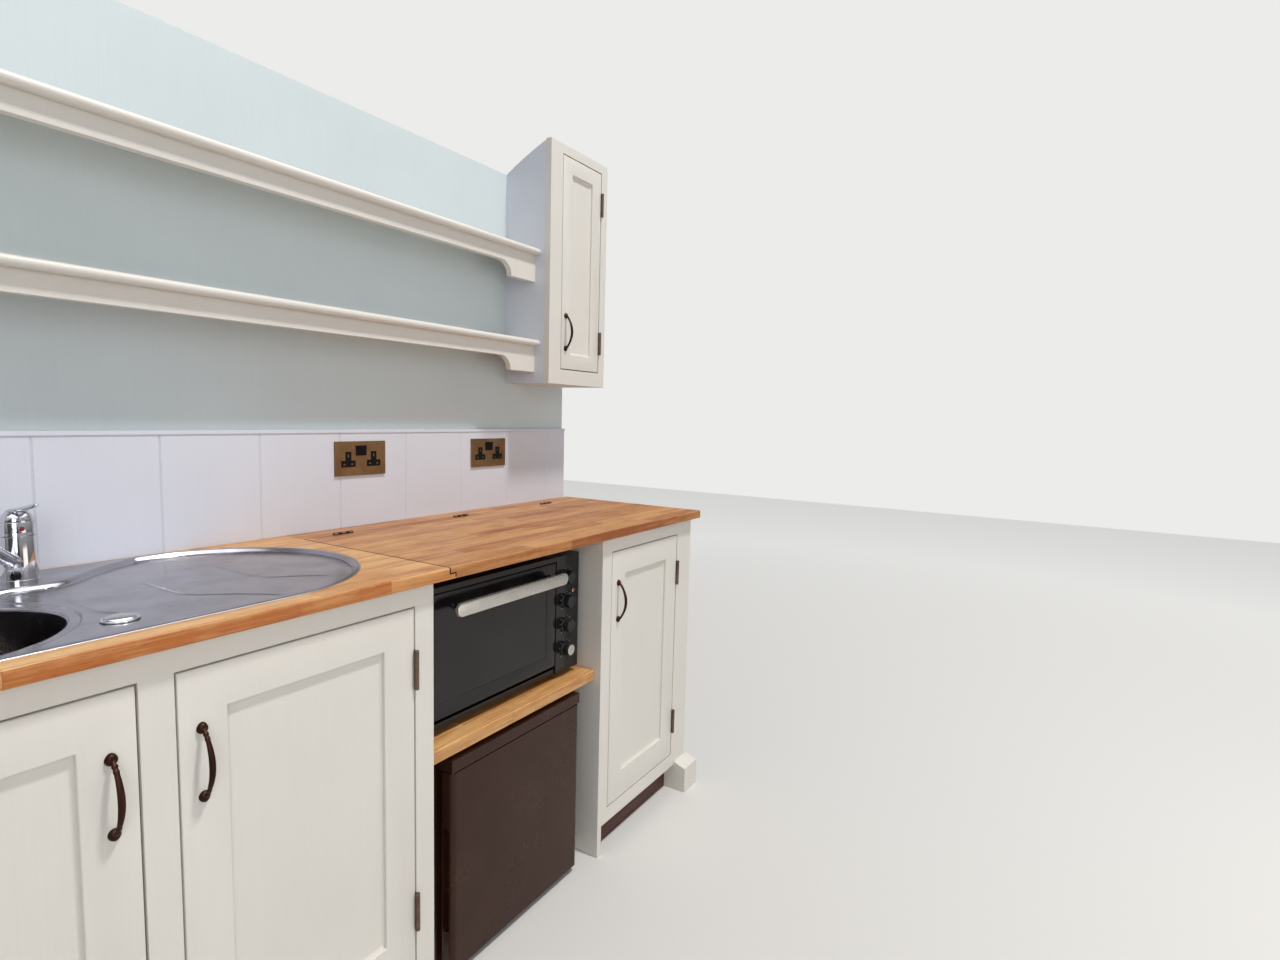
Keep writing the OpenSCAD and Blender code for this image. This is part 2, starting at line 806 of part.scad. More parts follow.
// One half of a butt hinge: its pin runs along Z, its leaf goes back along +Y on the
// side given by side, and its knuckles are every second one from first
module hinge_half(l, gap, depth, side, first, pin) {
    count = 5;
    each_l = l / count;
    difference() {
        union() {
            for (i = [first:2:count - 1])
                translate([0, 0, -l / 2 + i * each_l + seat / 2])
                    cylinder(r = knuckle_r, h = each_l - seat);
            intersection() {
                translate([side > 0 ? gap / 2 - leaf_t : -gap / 2, 0, -l / 2])
                    cube([leaf_t, depth, l]);
                union() {
                    translate([-gap, knuckle_r + seat, -l / 2]) cube([2 * gap, depth, l]);
                    for (i = [first:2:count - 1])
                        translate([-gap, 0, -l / 2 + i * each_l + seat / 2])
                            cube([2 * gap, depth, each_l - seat]);
                }
            }
        }
        if (!pin) translate([0, 0, -l]) cylinder(r = hinge_pin_r + fit, h = 2 * l);
    }
    if (pin) translate([0, 0, -l / 2 + seat]) cylinder(r = hinge_pin_r, h = l - 2 * seat);
}

module fixed_half(l, gap, depth) {
    hinge_half(l, gap, depth, 1, 0, true);
}

module moving_half(l, gap, depth) {
    hinge_half(l, gap, depth, -1, 1, false);
}

// Places a hinge of the flap: its pin runs along X and its leaf hangs down
module at_flap_hinges() {
    for (x = flap_hinges) translate([x, hinge_y, flap_pin_z]) rotate([-90, 0, 90]) children();
}

module at_base_hinges(x) {
    for (z = [hinge_low_z, hinge_top_z]) translate([x, hinge_front, z]) children();
}

module at_wall_hinges(x) {
    for (z = [wall_hinge_low_z, wall_hinge_top_z]) translate([x, wall_hinge_front, z]) children();
}

left_pin = sink_a + door_gap / 2;
right_pin = sink_b + sink_open_w - door_gap / 2;
narrow_pin = narrow_a + narrow_open_w - door_gap / 2;
wall_pin = wall_open_r - door_gap / 2;
leaf_deep = knuckle_out + leaf_w;

module fixed_hinges() {
    color(bronze) {
        at_base_hinges(left_pin) mirror([1, 0, 0]) fixed_half(hinge_l, door_gap, leaf_deep);
        at_base_hinges(right_pin) fixed_half(hinge_l, door_gap, leaf_deep);
        at_base_hinges(narrow_pin) fixed_half(hinge_l, door_gap, leaf_deep);
        at_wall_hinges(wall_pin) fixed_half(hinge_l, door_gap, leaf_deep);
        at_flap_hinges() fixed_half(flap_hinge_l, flap_gap, leaf_w);
    }
}

module flap_hinges_moving() {
    color(bronze) at_flap_hinges() moving_half(flap_hinge_l, flap_gap, leaf_w);
}

// A sloped fillet round a panel whose face lies at y0: four ramps that meet in the corners
module panel_fillet(x0, x1, z0, z1, y0) {
    for (s = [[z0, 1], [z1, -1]]) translate([x0, y0, s[0]]) rotate([90, 0, 90])
        linear_extrude(x1 - x0) polygon([[tiny, 0], [-fillet_w, 0], [0, s[1] * fillet_w],
            [tiny, s[1] * fillet_w]]);
    for (s = [[x0, 1], [x1, -1]]) translate([s[0], y0, z0]) linear_extrude(z1 - z0)
        polygon([[0, tiny], [0, -fillet_w], [s[1] * fillet_w, 0], [s[1] * fillet_w, tiny]]);
}

// A framed door with a flat panel set back in it
module framed_door(x0, x1, z0, z1, y0, rail, foot) {
    color(cream) {
        upright(y0, door_t) difference() {
            panel2d(x0, x1, z0, z1);
            panel2d(x0 + rail, x1 - rail, z0 + foot, z1 - rail);
        }
        block([x0 + rail - tiny, y0 + recess, z0 + foot - tiny],
            [x1 - rail + tiny, y0 + recess + door_panel_t, z1 - rail + tiny]);
        panel_fillet(x0 + rail, x1 - rail, z0 + foot, z1 - rail, y0 + recess);
    }
}

// A dome that stands on the plane y = 0
module dome(r, h) {
    rotate([90, 0, 0]) rotate_extrude()
        polygon(concat([[0, 0]], [for (i = [0:6]) let (a = 15 * i) [r * cos(a), h * sin(a)]]));
}

// A bow handle whose feet stand on the plane y = 0: a flattened bar bent to an arc, a collar at
// each end, and domed feet drawn out to a leaf's tip
module bow_handle() {
    stem = 6;
    rise = bow_out - bow_r - stem;
    r = (pow(bow_c / 2, 2) + rise * rise) / (2 * rise);
    half = asin(bow_c / 2 / r);
    translate([0, r - bow_out + bow_r, 0]) rotate([90, 0, -90]) rotate(-half)
        rotate_extrude(angle = 2 * half, $fn = 96) translate([r, 0])
        polygon([for (a = [0:22.5:337.5]) [bow_r * cos(a), (bow_r + bow_flat / 2) * sin(a)]]);
    for (s = [-1, 1]) translate([0, 0, s * bow_c / 2]) {
        dome(foot_r, foot_h);
        translate([0, 0, s * foot_tip]) dome(foot_r * 0.62, foot_h * 0.7);
        rotate([90, 0, 0]) cylinder(r = bow_r + 0.8, h = stem);
        translate([0, 1 - stem, 0]) rotate([90, 0, 0]) cylinder(r = bow_r + 2, h = 2);
        translate([0, -stem, 0]) sphere(r = bow_r + 1.2, $fn = 32);
    }
}

module sink_door_left() {
    framed_door(sink_a + door_gap, sink_a + sink_open_w - door_gap, open_low + door_gap,
        open_top - door_gap, front, door_rail, door_foot);
}

module sink_door_left_fittings() {
    color(bronze) {
        translate([sink_a + sink_open_w - door_gap - handle_in, front, handle_z]) bow_handle();
        at_base_hinges(left_pin) mirror([1, 0, 0]) moving_half(hinge_l, door_gap, leaf_deep);
    }
}

module sink_door_right() {
    framed_door(sink_b + door_gap, sink_b + sink_open_w - door_gap, open_low + door_gap,
        open_top - door_gap, front, door_rail, door_foot);
}

module sink_door_right_fittings() {
    color(bronze) {
        translate([sink_b + door_gap + handle_in, front, handle_z]) bow_handle();
        at_base_hinges(right_pin) moving_half(hinge_l, door_gap, leaf_deep);
    }
}

module narrow_door() {
    framed_door(narrow_a + door_gap, narrow_a + narrow_open_w - door_gap, open_low + door_gap,
        open_top - door_gap, front, door_rail, door_foot);
}

module narrow_door_fittings() {
    color(bronze) {
        translate([narrow_a + door_gap + handle_in, front, handle_z]) bow_handle();
        at_base_hinges(narrow_pin) moving_half(hinge_l, door_gap, leaf_deep);
    }
}

module wall_cupboard_door() {
    framed_door(wall_open_l + door_gap, wall_open_r - door_gap, wall_open_z + door_gap,
        wall_open_top - door_gap, wall_cup_front, wall_door_rail, wall_door_rail);
}

module wall_cupboard_door_fittings() {
    color(bronze) {
        translate([wall_open_l + door_gap + wall_handle_in, wall_cup_front, wall_handle_z])
            bow_handle();
        at_wall_hinges(wall_pin) moving_half(hinge_l, door_gap, leaf_deep);
    }
}

// Section of the bowl, from its axis outwards
function bowl_side(r, z0, round) = concat(
    [for (i = [0:8]) let (t = 90 * i / 8) [r - round + round * sin(t), z0 + round - round * cos(t)]],
    [[r, drainer_z - 2 * steel_t]]);

// The bowl is welded under its flange
module sink_bowl() {
    outer = bowl_side(bowl_r, bowl_floor, bowl_round);
    inner = bowl_side(bowl_r - steel_t, bowl_floor + steel_t, bowl_round - steel_t);
    count = len(inner);
    color(steel) translate([bowl_c[0], bowl_c[1], 0]) rotate_extrude($fn = 96) polygon(concat(
        [[waste_r, bowl_floor]], outer,
        [for (i = [count - 1:-1:0]) inner[i]], [[waste_r, bowl_floor + steel_t]]));
}

// The flange lies under the drainer, whose hole leaves a step round the bowl's mouth
module bowl_flange() {
    color(steel) translate([bowl_c[0], bowl_c[1], drainer_z - 2 * steel_t]) difference() {
        cylinder(r = bowl_r + flange_w, h = steel_t, $fn = 96);
        translate([0, 0, -1]) cylinder(r = bowl_r - steel_t, h = steel_t + 2, $fn = 96);
    }
}

// Points of a smooth line through the given ones, n for each stretch
function smooth(p, n) = concat([for (i = [0:len(p) - 2], k = [0:n - 1]) let (
    a = p[max(i - 1, 0)], b = p[i], c = p[i + 1], d = p[min(i + 2, len(p) - 1)], t = k / n)
    b + t * (c - a) / 2 + t * t * (a - 2.5 * b + 2 * c - 0.5 * d)
    + t * t * t * (1.5 * (b - c) + 0.5 * (d - a))], [p[len(p) - 1]]);

// The raised ledge that carries the tap, behind the bowl
module ledge2d(margin) {
    front_edge = [[-230, -20], [-120, 6], [-60, -28], [0, -50], [38, -54], [64, -36], [110, 8],
        [190, 58]];
    intersection() {
        sink2d(margin);
        translate([tap_c[0], tap_c[1]])
            polygon(concat([[-230, tap_y + 12]], smooth(front_edge, 3), [[190, tap_y + 12]]));
    }
}

// Outline of a rib seen from above: it runs forwards, bends to the right and runs on
function rib_line(x, back_end, run, turn, tail, w) = let (
    bend = [for (i = [0:8]) turn * i / 8],
    turning = [for (a = bend) [x + rib_bend - rib_bend * cos(a), back_end - run - rib_bend * sin(a)]],
    last = turning[8] + tail * [sin(turn), -cos(turn)])
    concat(
        [for (a = [180:-30:0]) [x, back_end] + w / 2 * [cos(a), sin(a)]],
        [for (i = [0:8]) turning[i] + w / 2 * [cos(bend[i]), sin(bend[i])]],
        [for (a = [0:30:180]) last + w / 2 * (cos(a) * [cos(turn), sin(turn)]
            + sin(a) * [sin(turn), -cos(turn)])],
        [for (i = [8:-1:0]) turning[i] - w / 2 * [cos(bend[i]), sin(bend[i])]]);

// A rib in two steps, wide below and narrow on top
module rib(x, back_end, run, turn, tail) {
    translate([0, 0, drainer_z]) {
        linear_extrude(rib_h / 2) polygon(rib_line(x, back_end, run, turn, tail, rib_r));
        linear_extrude(rib_h) polygon(rib_line(x, back_end, run, turn, tail, rib_r / 2));
    }
}

// Three ribs guide the water over the drainer
module drainer_ribs() {
    x = sink_left;
    y = sink_mid;
    color(steel) {
        rib(x + bowl_x + bowl_r + 30, y + 34, 118, 30, 16);
        rib(x + bowl_x + bowl_r + 144, y + 62, 132, 38, 104);
        rib(x + bowl_x + bowl_r + 282, y + 96, 130, 46, 66);
    }
}

module sink() {
    color(steel) difference() {
        union() {
            translate([0, 0, worktop_z]) linear_extrude(steel_t) sink2d(0);
            translate([0, 0, drainer_z - steel_t])
                linear_extrude(worktop_z - drainer_z + steel_t + tiny) sink2d(rim_w - 2);
        }
        translate([0, 0, drainer_z]) linear_extrude(drainer_drop + 1) difference() {
            sink2d(rim_w);
            ledge2d(rim_w - 1);
        }
        translate([0, 0, drainer_z - steel_t - 1])
            linear_extrude(drainer_drop + 1) ledge2d(rim_w + 2);
        translate([bowl_c[0], bowl_c[1], drainer_z - steel_t - 1])
            cylinder(r = bowl_r + step_w, h = steel_t + 2, $fn = 96);
        translate([tap_c[0], tap_c[1], 0]) cylinder(r = 17, h = 2 * rim_top);
    }
}

// The domed stopper lies on the drainer
module sink_stopper() {
    color(chrome_grey) translate([sink_left + stopper_x, sink_mid - sink_d / 2 + stopper_y, drainer_z]) {
        cylinder(r = stopper_r, h = 3);
        translate([0, 0, 3 - tiny]) rotate([-90, 0, 0]) dome(stopper_r - 4, 4);
    }
}

module sink_waste() {
    color(chrome_grey) translate([bowl_c[0], bowl_c[1], 0]) {
        translate([0, 0, bowl_floor + steel_t]) difference() {
            cylinder(r = waste_r + 4, h = 2);
            for (a = [0:45:315]) rotate(a) translate([waste_r * 0.45, 0, -1])
                cylinder(r = 5, h = 4, $fn = 16);
        }
        translate([0, 0, bowl_floor - 40]) cylinder(r = waste_r - 0.5, h = 42);
        translate([0, 0, bowl_floor - trap_drop + trap_h / 2])
            cylinder(r = tail_r, h = trap_drop - trap_h / 2 - 39);
        translate([0, 0, bowl_floor - trap_drop]) cylinder(r = trap_r, h = trap_h);
        translate([0, 0, bowl_floor - pipe_drop]) rotate([-90, 0, 0])
            cylinder(r = pipe_r, h = wall_y - bowl_c[1]);
    }
}

module tap_base() {
    color(chrome_grey) translate([tap_c[0], tap_c[1], 0]) {
        translate([0, 0, rim_top]) cylinder(r = tap_r + tap_flare + 1, h = tap_foot);
        translate([0, 0, rim_top - 60]) cylinder(r = 15, h = 60 + tiny);
        translate([0, 0, rim_top - 20]) cylinder(r = 24, h = 20 - steel_t);
        translate([0, 0, rim_top + tap_foot - tiny]) cylinder(r = tap_post_r, h = tap_h - tap_foot);
        translate([0, 0, rim_top + tap_h - 2 * tiny]) cylinder(r = tap_stub_r, h = 7);
    }
}

// The spout in its own upright plane: a rising tube, a bend and the outlet
module spout() {
    straight = spout_l - spout_bend * (sin(spout_rise) + cos(spout_tip)) / cos(spout_rise);
    bend_x = straight * cos(spout_rise) + spout_bend * sin(spout_rise);
    bend_z = straight * sin(spout_rise) - spout_bend * cos(spout_rise);
    rotate([0, 90 - spout_rise, 0]) cylinder(r = spout_r, h = straight);
    translate([bend_x, 0, bend_z]) {
        rotate([90, 0, 0]) rotate(spout_tip)
            rotate_extrude(angle = 90 + spout_rise - spout_tip, $fn = 96)
            translate([spout_bend, 0]) circle(r = spout_r, $fn = 48);
        translate([spout_bend * cos(spout_tip), 0, spout_bend * sin(spout_tip)])
            rotate([0, 180 - spout_tip, 0]) cylinder(r = spout_r + 1, h = outlet_h);
    }
}

// The turning body of the tap with its spout
module tap_spout() {
    z0 = rim_top + tap_foot + seat;
    color(chrome_grey) translate([tap_c[0], tap_c[1], 0]) difference() {
        union() {
            translate([0, 0, z0])
                cylinder(r1 = tap_r + tap_flare, r2 = tap_r, h = tap_h - tap_foot - seat);
            rotate(-90 - spout_turn) translate([0, 0, z0 + spout_z]) spout();
        }
        translate([0, 0, z0 - 1]) cylinder(r = tap_post_r + fit, h = tap_h);
    }
}

// The turning cap, hollowed for the ball of the lever
module tap_cap() {
    z0 = rim_top + tap_h + seat;
    h = tap_ball_r + 1.5;
    skirt = 5;
    color(chrome_grey) translate([tap_c[0], tap_c[1], z0]) difference() {
        union() {
            cylinder(r = tap_r, h = h);
            cylinder(r1 = tap_r + 1.5, r2 = tap_r, h = skirt);
        }
        translate([0, 0, h]) sphere(r = tap_ball_r + seat, $fn = 96);
        translate([0, 0, -1]) cylinder(r = tap_stub_r + fit, h = h);
    }
}

// Outline of the lever: a blade that narrows to a round tip
module lever2d() {
    a = asin((lever_root - lever_tip) / lever_l);
    translate([0, -lever_l]) circle(r = lever_tip);
    polygon([for (q = [[1, lever_root, 0], [1, lever_tip, lever_l], [-1, lever_tip, lever_l],
        [-1, lever_root, 0]]) [q[0] * q[1] * cos(a), -q[2] - q[1] * sin(a)]]);
}

// The ball of the lever sits in the cap, and the lever lies on its top and rises to the front
module tap_lever() {
    z0 = rim_top + tap_h + seat + tap_ball_r + 1.5;
    color(chrome_grey) translate([tap_c[0], tap_c[1], z0]) {
        intersection() {
            sphere(r = tap_ball_r, $fn = 96);
            translate([-tap_r, -tap_r, -12]) cube([2 * tap_r, 2 * tap_r, 2 * tap_r]);
        }
        rotate([-lever_rise, 0, 0]) translate([0, 0, tap_ball_r - lever_t + 0.5])
            linear_extrude(lever_t) lever2d();
    }
}

module oven_body() {
    cavity = [oven_panel_l - oven_l - 30, oven_d - 80, oven_h - 72];
    color(black) {
        difference() {
            union() {
                block([oven_l, oven_body_front, oven_z],
                    [oven_r, oven_front + oven_d, oven_top]);
                block([oven_panel_l, oven_front, oven_z],
                    [oven_r, oven_body_front + tiny, oven_top]);
                block([oven_l, oven_front, oven_door_top + 2],
                    [oven_panel_l + tiny, oven_body_front + tiny, oven_top]);
                block([oven_l, oven_front + 4, oven_z],
                    [oven_panel_l + tiny, oven_body_front + tiny, oven_door_z - 8]);
                block([oven_l, oven_front + 2, oven_z],
                    [oven_l + 4, oven_body_front + tiny, oven_pin_z + 9]);
            }
            translate([oven_l + 20, oven_body_front - 1, oven_z + 36]) cube(cavity);
            for (i = [0:3])
                translate([knob_x, oven_front - 1, knob_low_z + i * knob_step])
                    rotate([-90, 0, 0]) cylinder(r = 3.5, h = 16);
        }
        translate([oven_l + 3, oven_pin_y, oven_pin_z]) rotate([0, 90, 0])
            cylinder(r = 3, h = 11);
        translate([oven_panel_l + 1, oven_pin_y, oven_pin_z]) rotate([0, -90, 0])
            cylinder(r = 3, h = 11);
        translate([oven_r - 25.5, oven_front + tiny, knob_low_z + 2.35 * knob_step]) rotate([90, 0, 0])
            cylinder(r = 3.5, h = 2);
        for (x = [oven_l + 40, oven_r - 40])
            for (y = [oven_body_front + 30, oven_front + oven_d - 40])
                translate([x, y, bay_shelf_z]) cylinder(r = 14, h = oven_foot);
    }
}

module hotplates() {
    color([0.12, 0.12, 0.12]) for (p = [[0.29, plate_small_r], [0.73, plate_large_r]])
        translate([oven_l + p[0] * oven_w, oven_front + oven_d * 0.52, oven_top])
            difference() {
                union() {
                    cylinder(r = p[1] + plate_ring, h = plate_h / 3);
                    cylinder(r = p[1], h = plate_h);
                }
                translate([0, 0, plate_h - 1]) cylinder(r = p[1] / 4, h = 2);
            }
}

oven_glass = [36, 34, 46];

module oven_door() {
    m = oven_glass;
    color(black) difference() {
        block([oven_door_l, oven_front, oven_door_z],
            [oven_door_r, oven_front + oven_door_t, oven_door_top]);
        block([oven_door_l + m[0], oven_front - 1, oven_door_z + m[1]],
            [oven_door_r - m[0], oven_front + oven_door_t + 1, oven_door_top - m[2]]);
        for (x = [oven_door_l - 1, oven_door_r - 10])
            translate([x, oven_pin_y, oven_pin_z]) rotate([0, 90, 0])
                cylinder(r = 3 + fit, h = 11);
    }
}

module oven_door_glass() {
    m = oven_glass;
    color([0.2, 0.2, 0.2, 0.5]) block(
        [oven_door_l + m[0], oven_front + 2, oven_door_z + m[1]],
        [oven_door_r - m[0], oven_front + 7, oven_door_top - m[2]]);
}

module oven_handle() {
    x0 = oven_panel_l - 4 - bar_w / 2;
    z = oven_door_top - bar_drop;
    t = 8;
    color(steel) {
        for (s = [-1, 1]) translate([x0 + s * (bar_w / 2 - bar_h), oven_front, z])
            rotate([90, 0, 0]) cylinder(r = 7, h = bar_out - t + 1);
        upright(oven_front - bar_out, t) translate([x0, z]) {
            square([bar_w - bar_h, bar_h], center = true);
            for (s = [-1, 1]) translate([s * (bar_w - bar_h) / 2, 0]) circle(d = bar_h);
        }
    }
}

module oven_knob(i) {
    color(black) translate([knob_x, oven_front, knob_low_z + i * knob_step]) {
        difference() {
            translate([0, -seat, 0]) rotate([90, 0, 0]) {
                cylinder(r = knob_r, h = knob_skirt);
                cylinder(r1 = knob_r - knob_in_by, r2 = knob_r - knob_in_by - 1, h = knob_out);
            }
            translate([-0.8, -seat - knob_out - 1, knob_r / 4]) cube([1.6, 2, knob_r]);
        }
        translate([0, 12, 0]) rotate([90, 0, 0]) cylinder(r = 3.5 - fit, h = 12 + 2 * seat);
    }
}

module fridge_body() {
    w = fridge_wall;
    color(black) {
        difference() {
            block([fridge_l, fridge_body_front, fridge_foot],
                [fridge_r, fridge_back, fridge_h - tiny]);
            block([fridge_l + w, fridge_body_front - 1, fridge_foot + w],
                [fridge_r - w, fridge_back - w - 30, fridge_h - fridge_top_h - w]);
        }
        block([fridge_l, fridge_front, fridge_h - fridge_top_h],
            [fridge_r, fridge_back, fridge_h]);
        for (x = [fridge_l + 60, fridge_r - 60])
            block([x - 12, fridge_back - tiny, fridge_h - 60], [x + 12, wall_y, fridge_h - 36]);
        translate([fridge_pin[0], fridge_pin[1], fridge_door_top - 14])
            cylinder(r = 4, h = 14 + 3 + 1);
        translate([fridge_pin[0], fridge_pin[1], fridge_foot]) cylinder(r = 4, h = 20);
        block([fridge_pin[0] - 12, fridge_pin[1] - 10, fridge_foot],
            [fridge_pin[0] + 12, fridge_body_front + tiny, fridge_foot + 4]);
        for (x = [fridge_l + 40, fridge_r - 40])
            for (y = [fridge_body_front + 30, fridge_back - 40])
                translate([x, y, 0]) cylinder(r = 15, h = fridge_foot);
    }
}

module fridge_door() {
    r = fridge_corner;
    color(black) {
        difference() {
            translate([0, 0, fridge_door_z]) linear_extrude(fridge_door_top - fridge_door_z) {
                translate([fridge_l + r, fridge_front])
                    square([fridge_w - 2 * r, fridge_door_t]);
                translate([fridge_l, fridge_front + r]) square([fridge_w, fridge_door_t - 2 * r]);
                for (x = [fridge_l + r, fridge_r - r])
                    for (y = [fridge_front + r, fridge_front + fridge_door_t - r])
                        translate([x, y]) circle(r = r);
            }
            for (z = [fridge_door_z - 1, fridge_door_top - 15])
                translate([fridge_pin[0], fridge_pin[1], z]) cylinder(r = 4 + fit, h = 16);
            translate([fridge_l - 1, fridge_front + fridge_door_t / 2, grip_z]) {
                translate([0, -grip_w / 2, grip_w / 2])
                    cube([grip_deep + 1, grip_w, grip_h - grip_w]);
                for (z = [grip_w / 2, grip_h - grip_w / 2])
                    translate([0, 0, z]) rotate([0, 90, 0]) cylinder(d = grip_w, h = grip_deep + 1);
            }
        }
        difference() {
            block([fridge_l + 27, fridge_front + fridge_door_t - tiny, fridge_door_z + 20],
                [fridge_r - 27, fridge_front + fridge_door_t + seal_t, fridge_door_top - 6]);
            block([fridge_l + 42, fridge_front + fridge_door_t - 1, fridge_door_z + 35],
                [fridge_r - 42, fridge_front + fridge_door_t + seal_t + 1, fridge_door_top - 21]);
        }
    }
}

wall_lining();
wall_studs();
splashback();
sockets();
socket_inserts();
shelf(shelf_z + shelf_step);  // shelf_upper
shelf(shelf_z);  // shelf_lower
fascia(shelf_z + shelf_step);  // fascia_upper
fascia(shelf_z);  // fascia_lower
wall_cupboard_sides();
wall_cupboard_bottom();
wall_cupboard_top();
wall_cupboard_frame();
left_end_panel();
bay_side_panel();
divider();
right_end_panel();
cupboard_floors();
rear_rail();
face_frame_left();
face_frame_right();
plinth();
skirting_block();
bay_shelf();
worktop_left();
worktop_strip();
fixed_hinges();
sink();
bowl_flange();
sink_bowl();
drainer_ribs();
sink_waste();
sink_stopper();
tap_base();
tap_spout();
tap_cap();
tap_lever();
oven_body();
hotplates();
fridge_body();
sink_door_left();
sink_door_left_fittings();
sink_door_right();
sink_door_right_fittings();
narrow_door();
narrow_door_fittings();
wall_cupboard_door();
wall_cupboard_door_fittings();
worktop_flap();
flap_hinges_moving();
oven_door();
oven_door_glass();
oven_handle();
oven_knob(3);  // oven_knob_1
oven_knob(2);  // oven_knob_2
oven_knob(1);  // oven_knob_3
oven_knob(0);  // oven_knob_4
fridge_door();
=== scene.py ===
# %% [markdown]
# The fitted kitchen of a shepherd's hut, dressed for its portrait
#
# A carpenter built this kitchen along one wall of a small hut: a sink cupboard, a bay with a
# mini oven over a fridge, a narrow cupboard, two shelves and a wall cupboard under the eaves.
# The solids come from the frame, where each one already has its place and its true size.
# This lesson gives them their finishes, and builds again the pieces whose soft shapes show most.

import json
import math

import bmesh
import bpy
import numpy as np
from mathutils import Matrix, Vector

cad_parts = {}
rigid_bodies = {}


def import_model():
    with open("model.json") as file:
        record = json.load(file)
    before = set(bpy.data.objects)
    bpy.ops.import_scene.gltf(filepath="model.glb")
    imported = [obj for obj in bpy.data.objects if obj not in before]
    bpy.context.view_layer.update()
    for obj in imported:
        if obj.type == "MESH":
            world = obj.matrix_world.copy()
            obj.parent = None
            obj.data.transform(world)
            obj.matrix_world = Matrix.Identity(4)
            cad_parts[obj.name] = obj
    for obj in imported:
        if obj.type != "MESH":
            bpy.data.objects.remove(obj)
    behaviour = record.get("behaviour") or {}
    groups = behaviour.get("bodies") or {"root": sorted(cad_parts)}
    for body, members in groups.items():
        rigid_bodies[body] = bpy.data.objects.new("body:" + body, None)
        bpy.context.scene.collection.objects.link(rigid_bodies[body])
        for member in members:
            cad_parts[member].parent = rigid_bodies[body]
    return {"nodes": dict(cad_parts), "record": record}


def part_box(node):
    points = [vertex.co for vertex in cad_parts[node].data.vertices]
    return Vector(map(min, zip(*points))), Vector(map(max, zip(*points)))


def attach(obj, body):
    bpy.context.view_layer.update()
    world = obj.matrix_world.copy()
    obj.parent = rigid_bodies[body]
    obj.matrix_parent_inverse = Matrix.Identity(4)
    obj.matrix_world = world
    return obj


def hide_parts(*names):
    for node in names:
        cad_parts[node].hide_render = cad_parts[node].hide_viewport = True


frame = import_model()
nodes = frame["nodes"]
shown = bpy.context.scene.collection.objects
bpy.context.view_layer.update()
for flat_colour in list(bpy.data.materials):
    bpy.data.materials.remove(flat_colour)

# %% [markdown]
# The camera stands where the photographer stood: inside the hut at eye height, close to the
# left end of the kitchen, looking along it with a wide lens. A wide lens close by makes the
# sink large and the far cupboard small, so the lens and the place have to be right together.
# Three unit vectors, right, up and backwards, are all that Blender's camera needs.

# %% The camera
PICTURE_WIDTH = 1280
EYE_PLACE = (-0.95815, -1.28085, 1.20302)
FOCAL_LENGTH = 692.03
turn, nod, lean = (math.radians(angle) for angle in (58.498, -5.331, 1.464))
ahead = np.array([math.sin(turn) * math.cos(nod), math.cos(turn) * math.cos(nod), math.sin(nod)])
level = np.array([math.cos(turn), -math.sin(turn), 0.0])
above = np.cross(level, ahead)
right_hand = math.cos(lean) * level + math.sin(lean) * above
upwards = -math.sin(lean) * level + math.cos(lean) * above

eye = bpy.data.objects.new("eye", bpy.data.cameras.new("eye"))
eye.data.sensor_width = 36.0
eye.data.lens = 36.0 * FOCAL_LENGTH / PICTURE_WIDTH
eye.data.clip_start = 0.02
axes = Matrix(np.column_stack([right_hand, upwards, -ahead]).tolist()).to_4x4()
eye.matrix_world = Matrix.Translation(EYE_PLACE) @ axes
shown.link(eye)
bpy.context.scene.camera = eye
print("lens", round(eye.data.lens, 2), "mm")

# %% [markdown]
# A studio rather than a hut: a plain pale floor, a pale backdrop that only the camera sees,
# directly or through glass, and soft light. The key light is a small panel high in front, because
# the photograph shows short shadows under the worktop's overhang. The world fills in the rest, at
# a level at which paint looks as it is mixed. Glossy things mirror a tent of their own: dim and
# patchy low down, as a furnished room is, and bright overhead. Far off, the floor glows a little
# for the camera, and so runs into the backdrop.

# %% Colours are mixed as a painter reads them
def mix(red, green, blue):
    """A colour read as 0 to 255 on a screen, turned into the linear light that Blender counts."""
    screen = np.array([red, green, blue]) / 255
    linear = np.where(screen <= 0.04045, screen / 12.92, ((screen + 0.055) / 1.055) ** 2.4)
    return (*[float(v) for v in linear], 1.0)


print("a middle grey of 128 is", round(mix(128, 128, 128)[0], 3), "of full light")

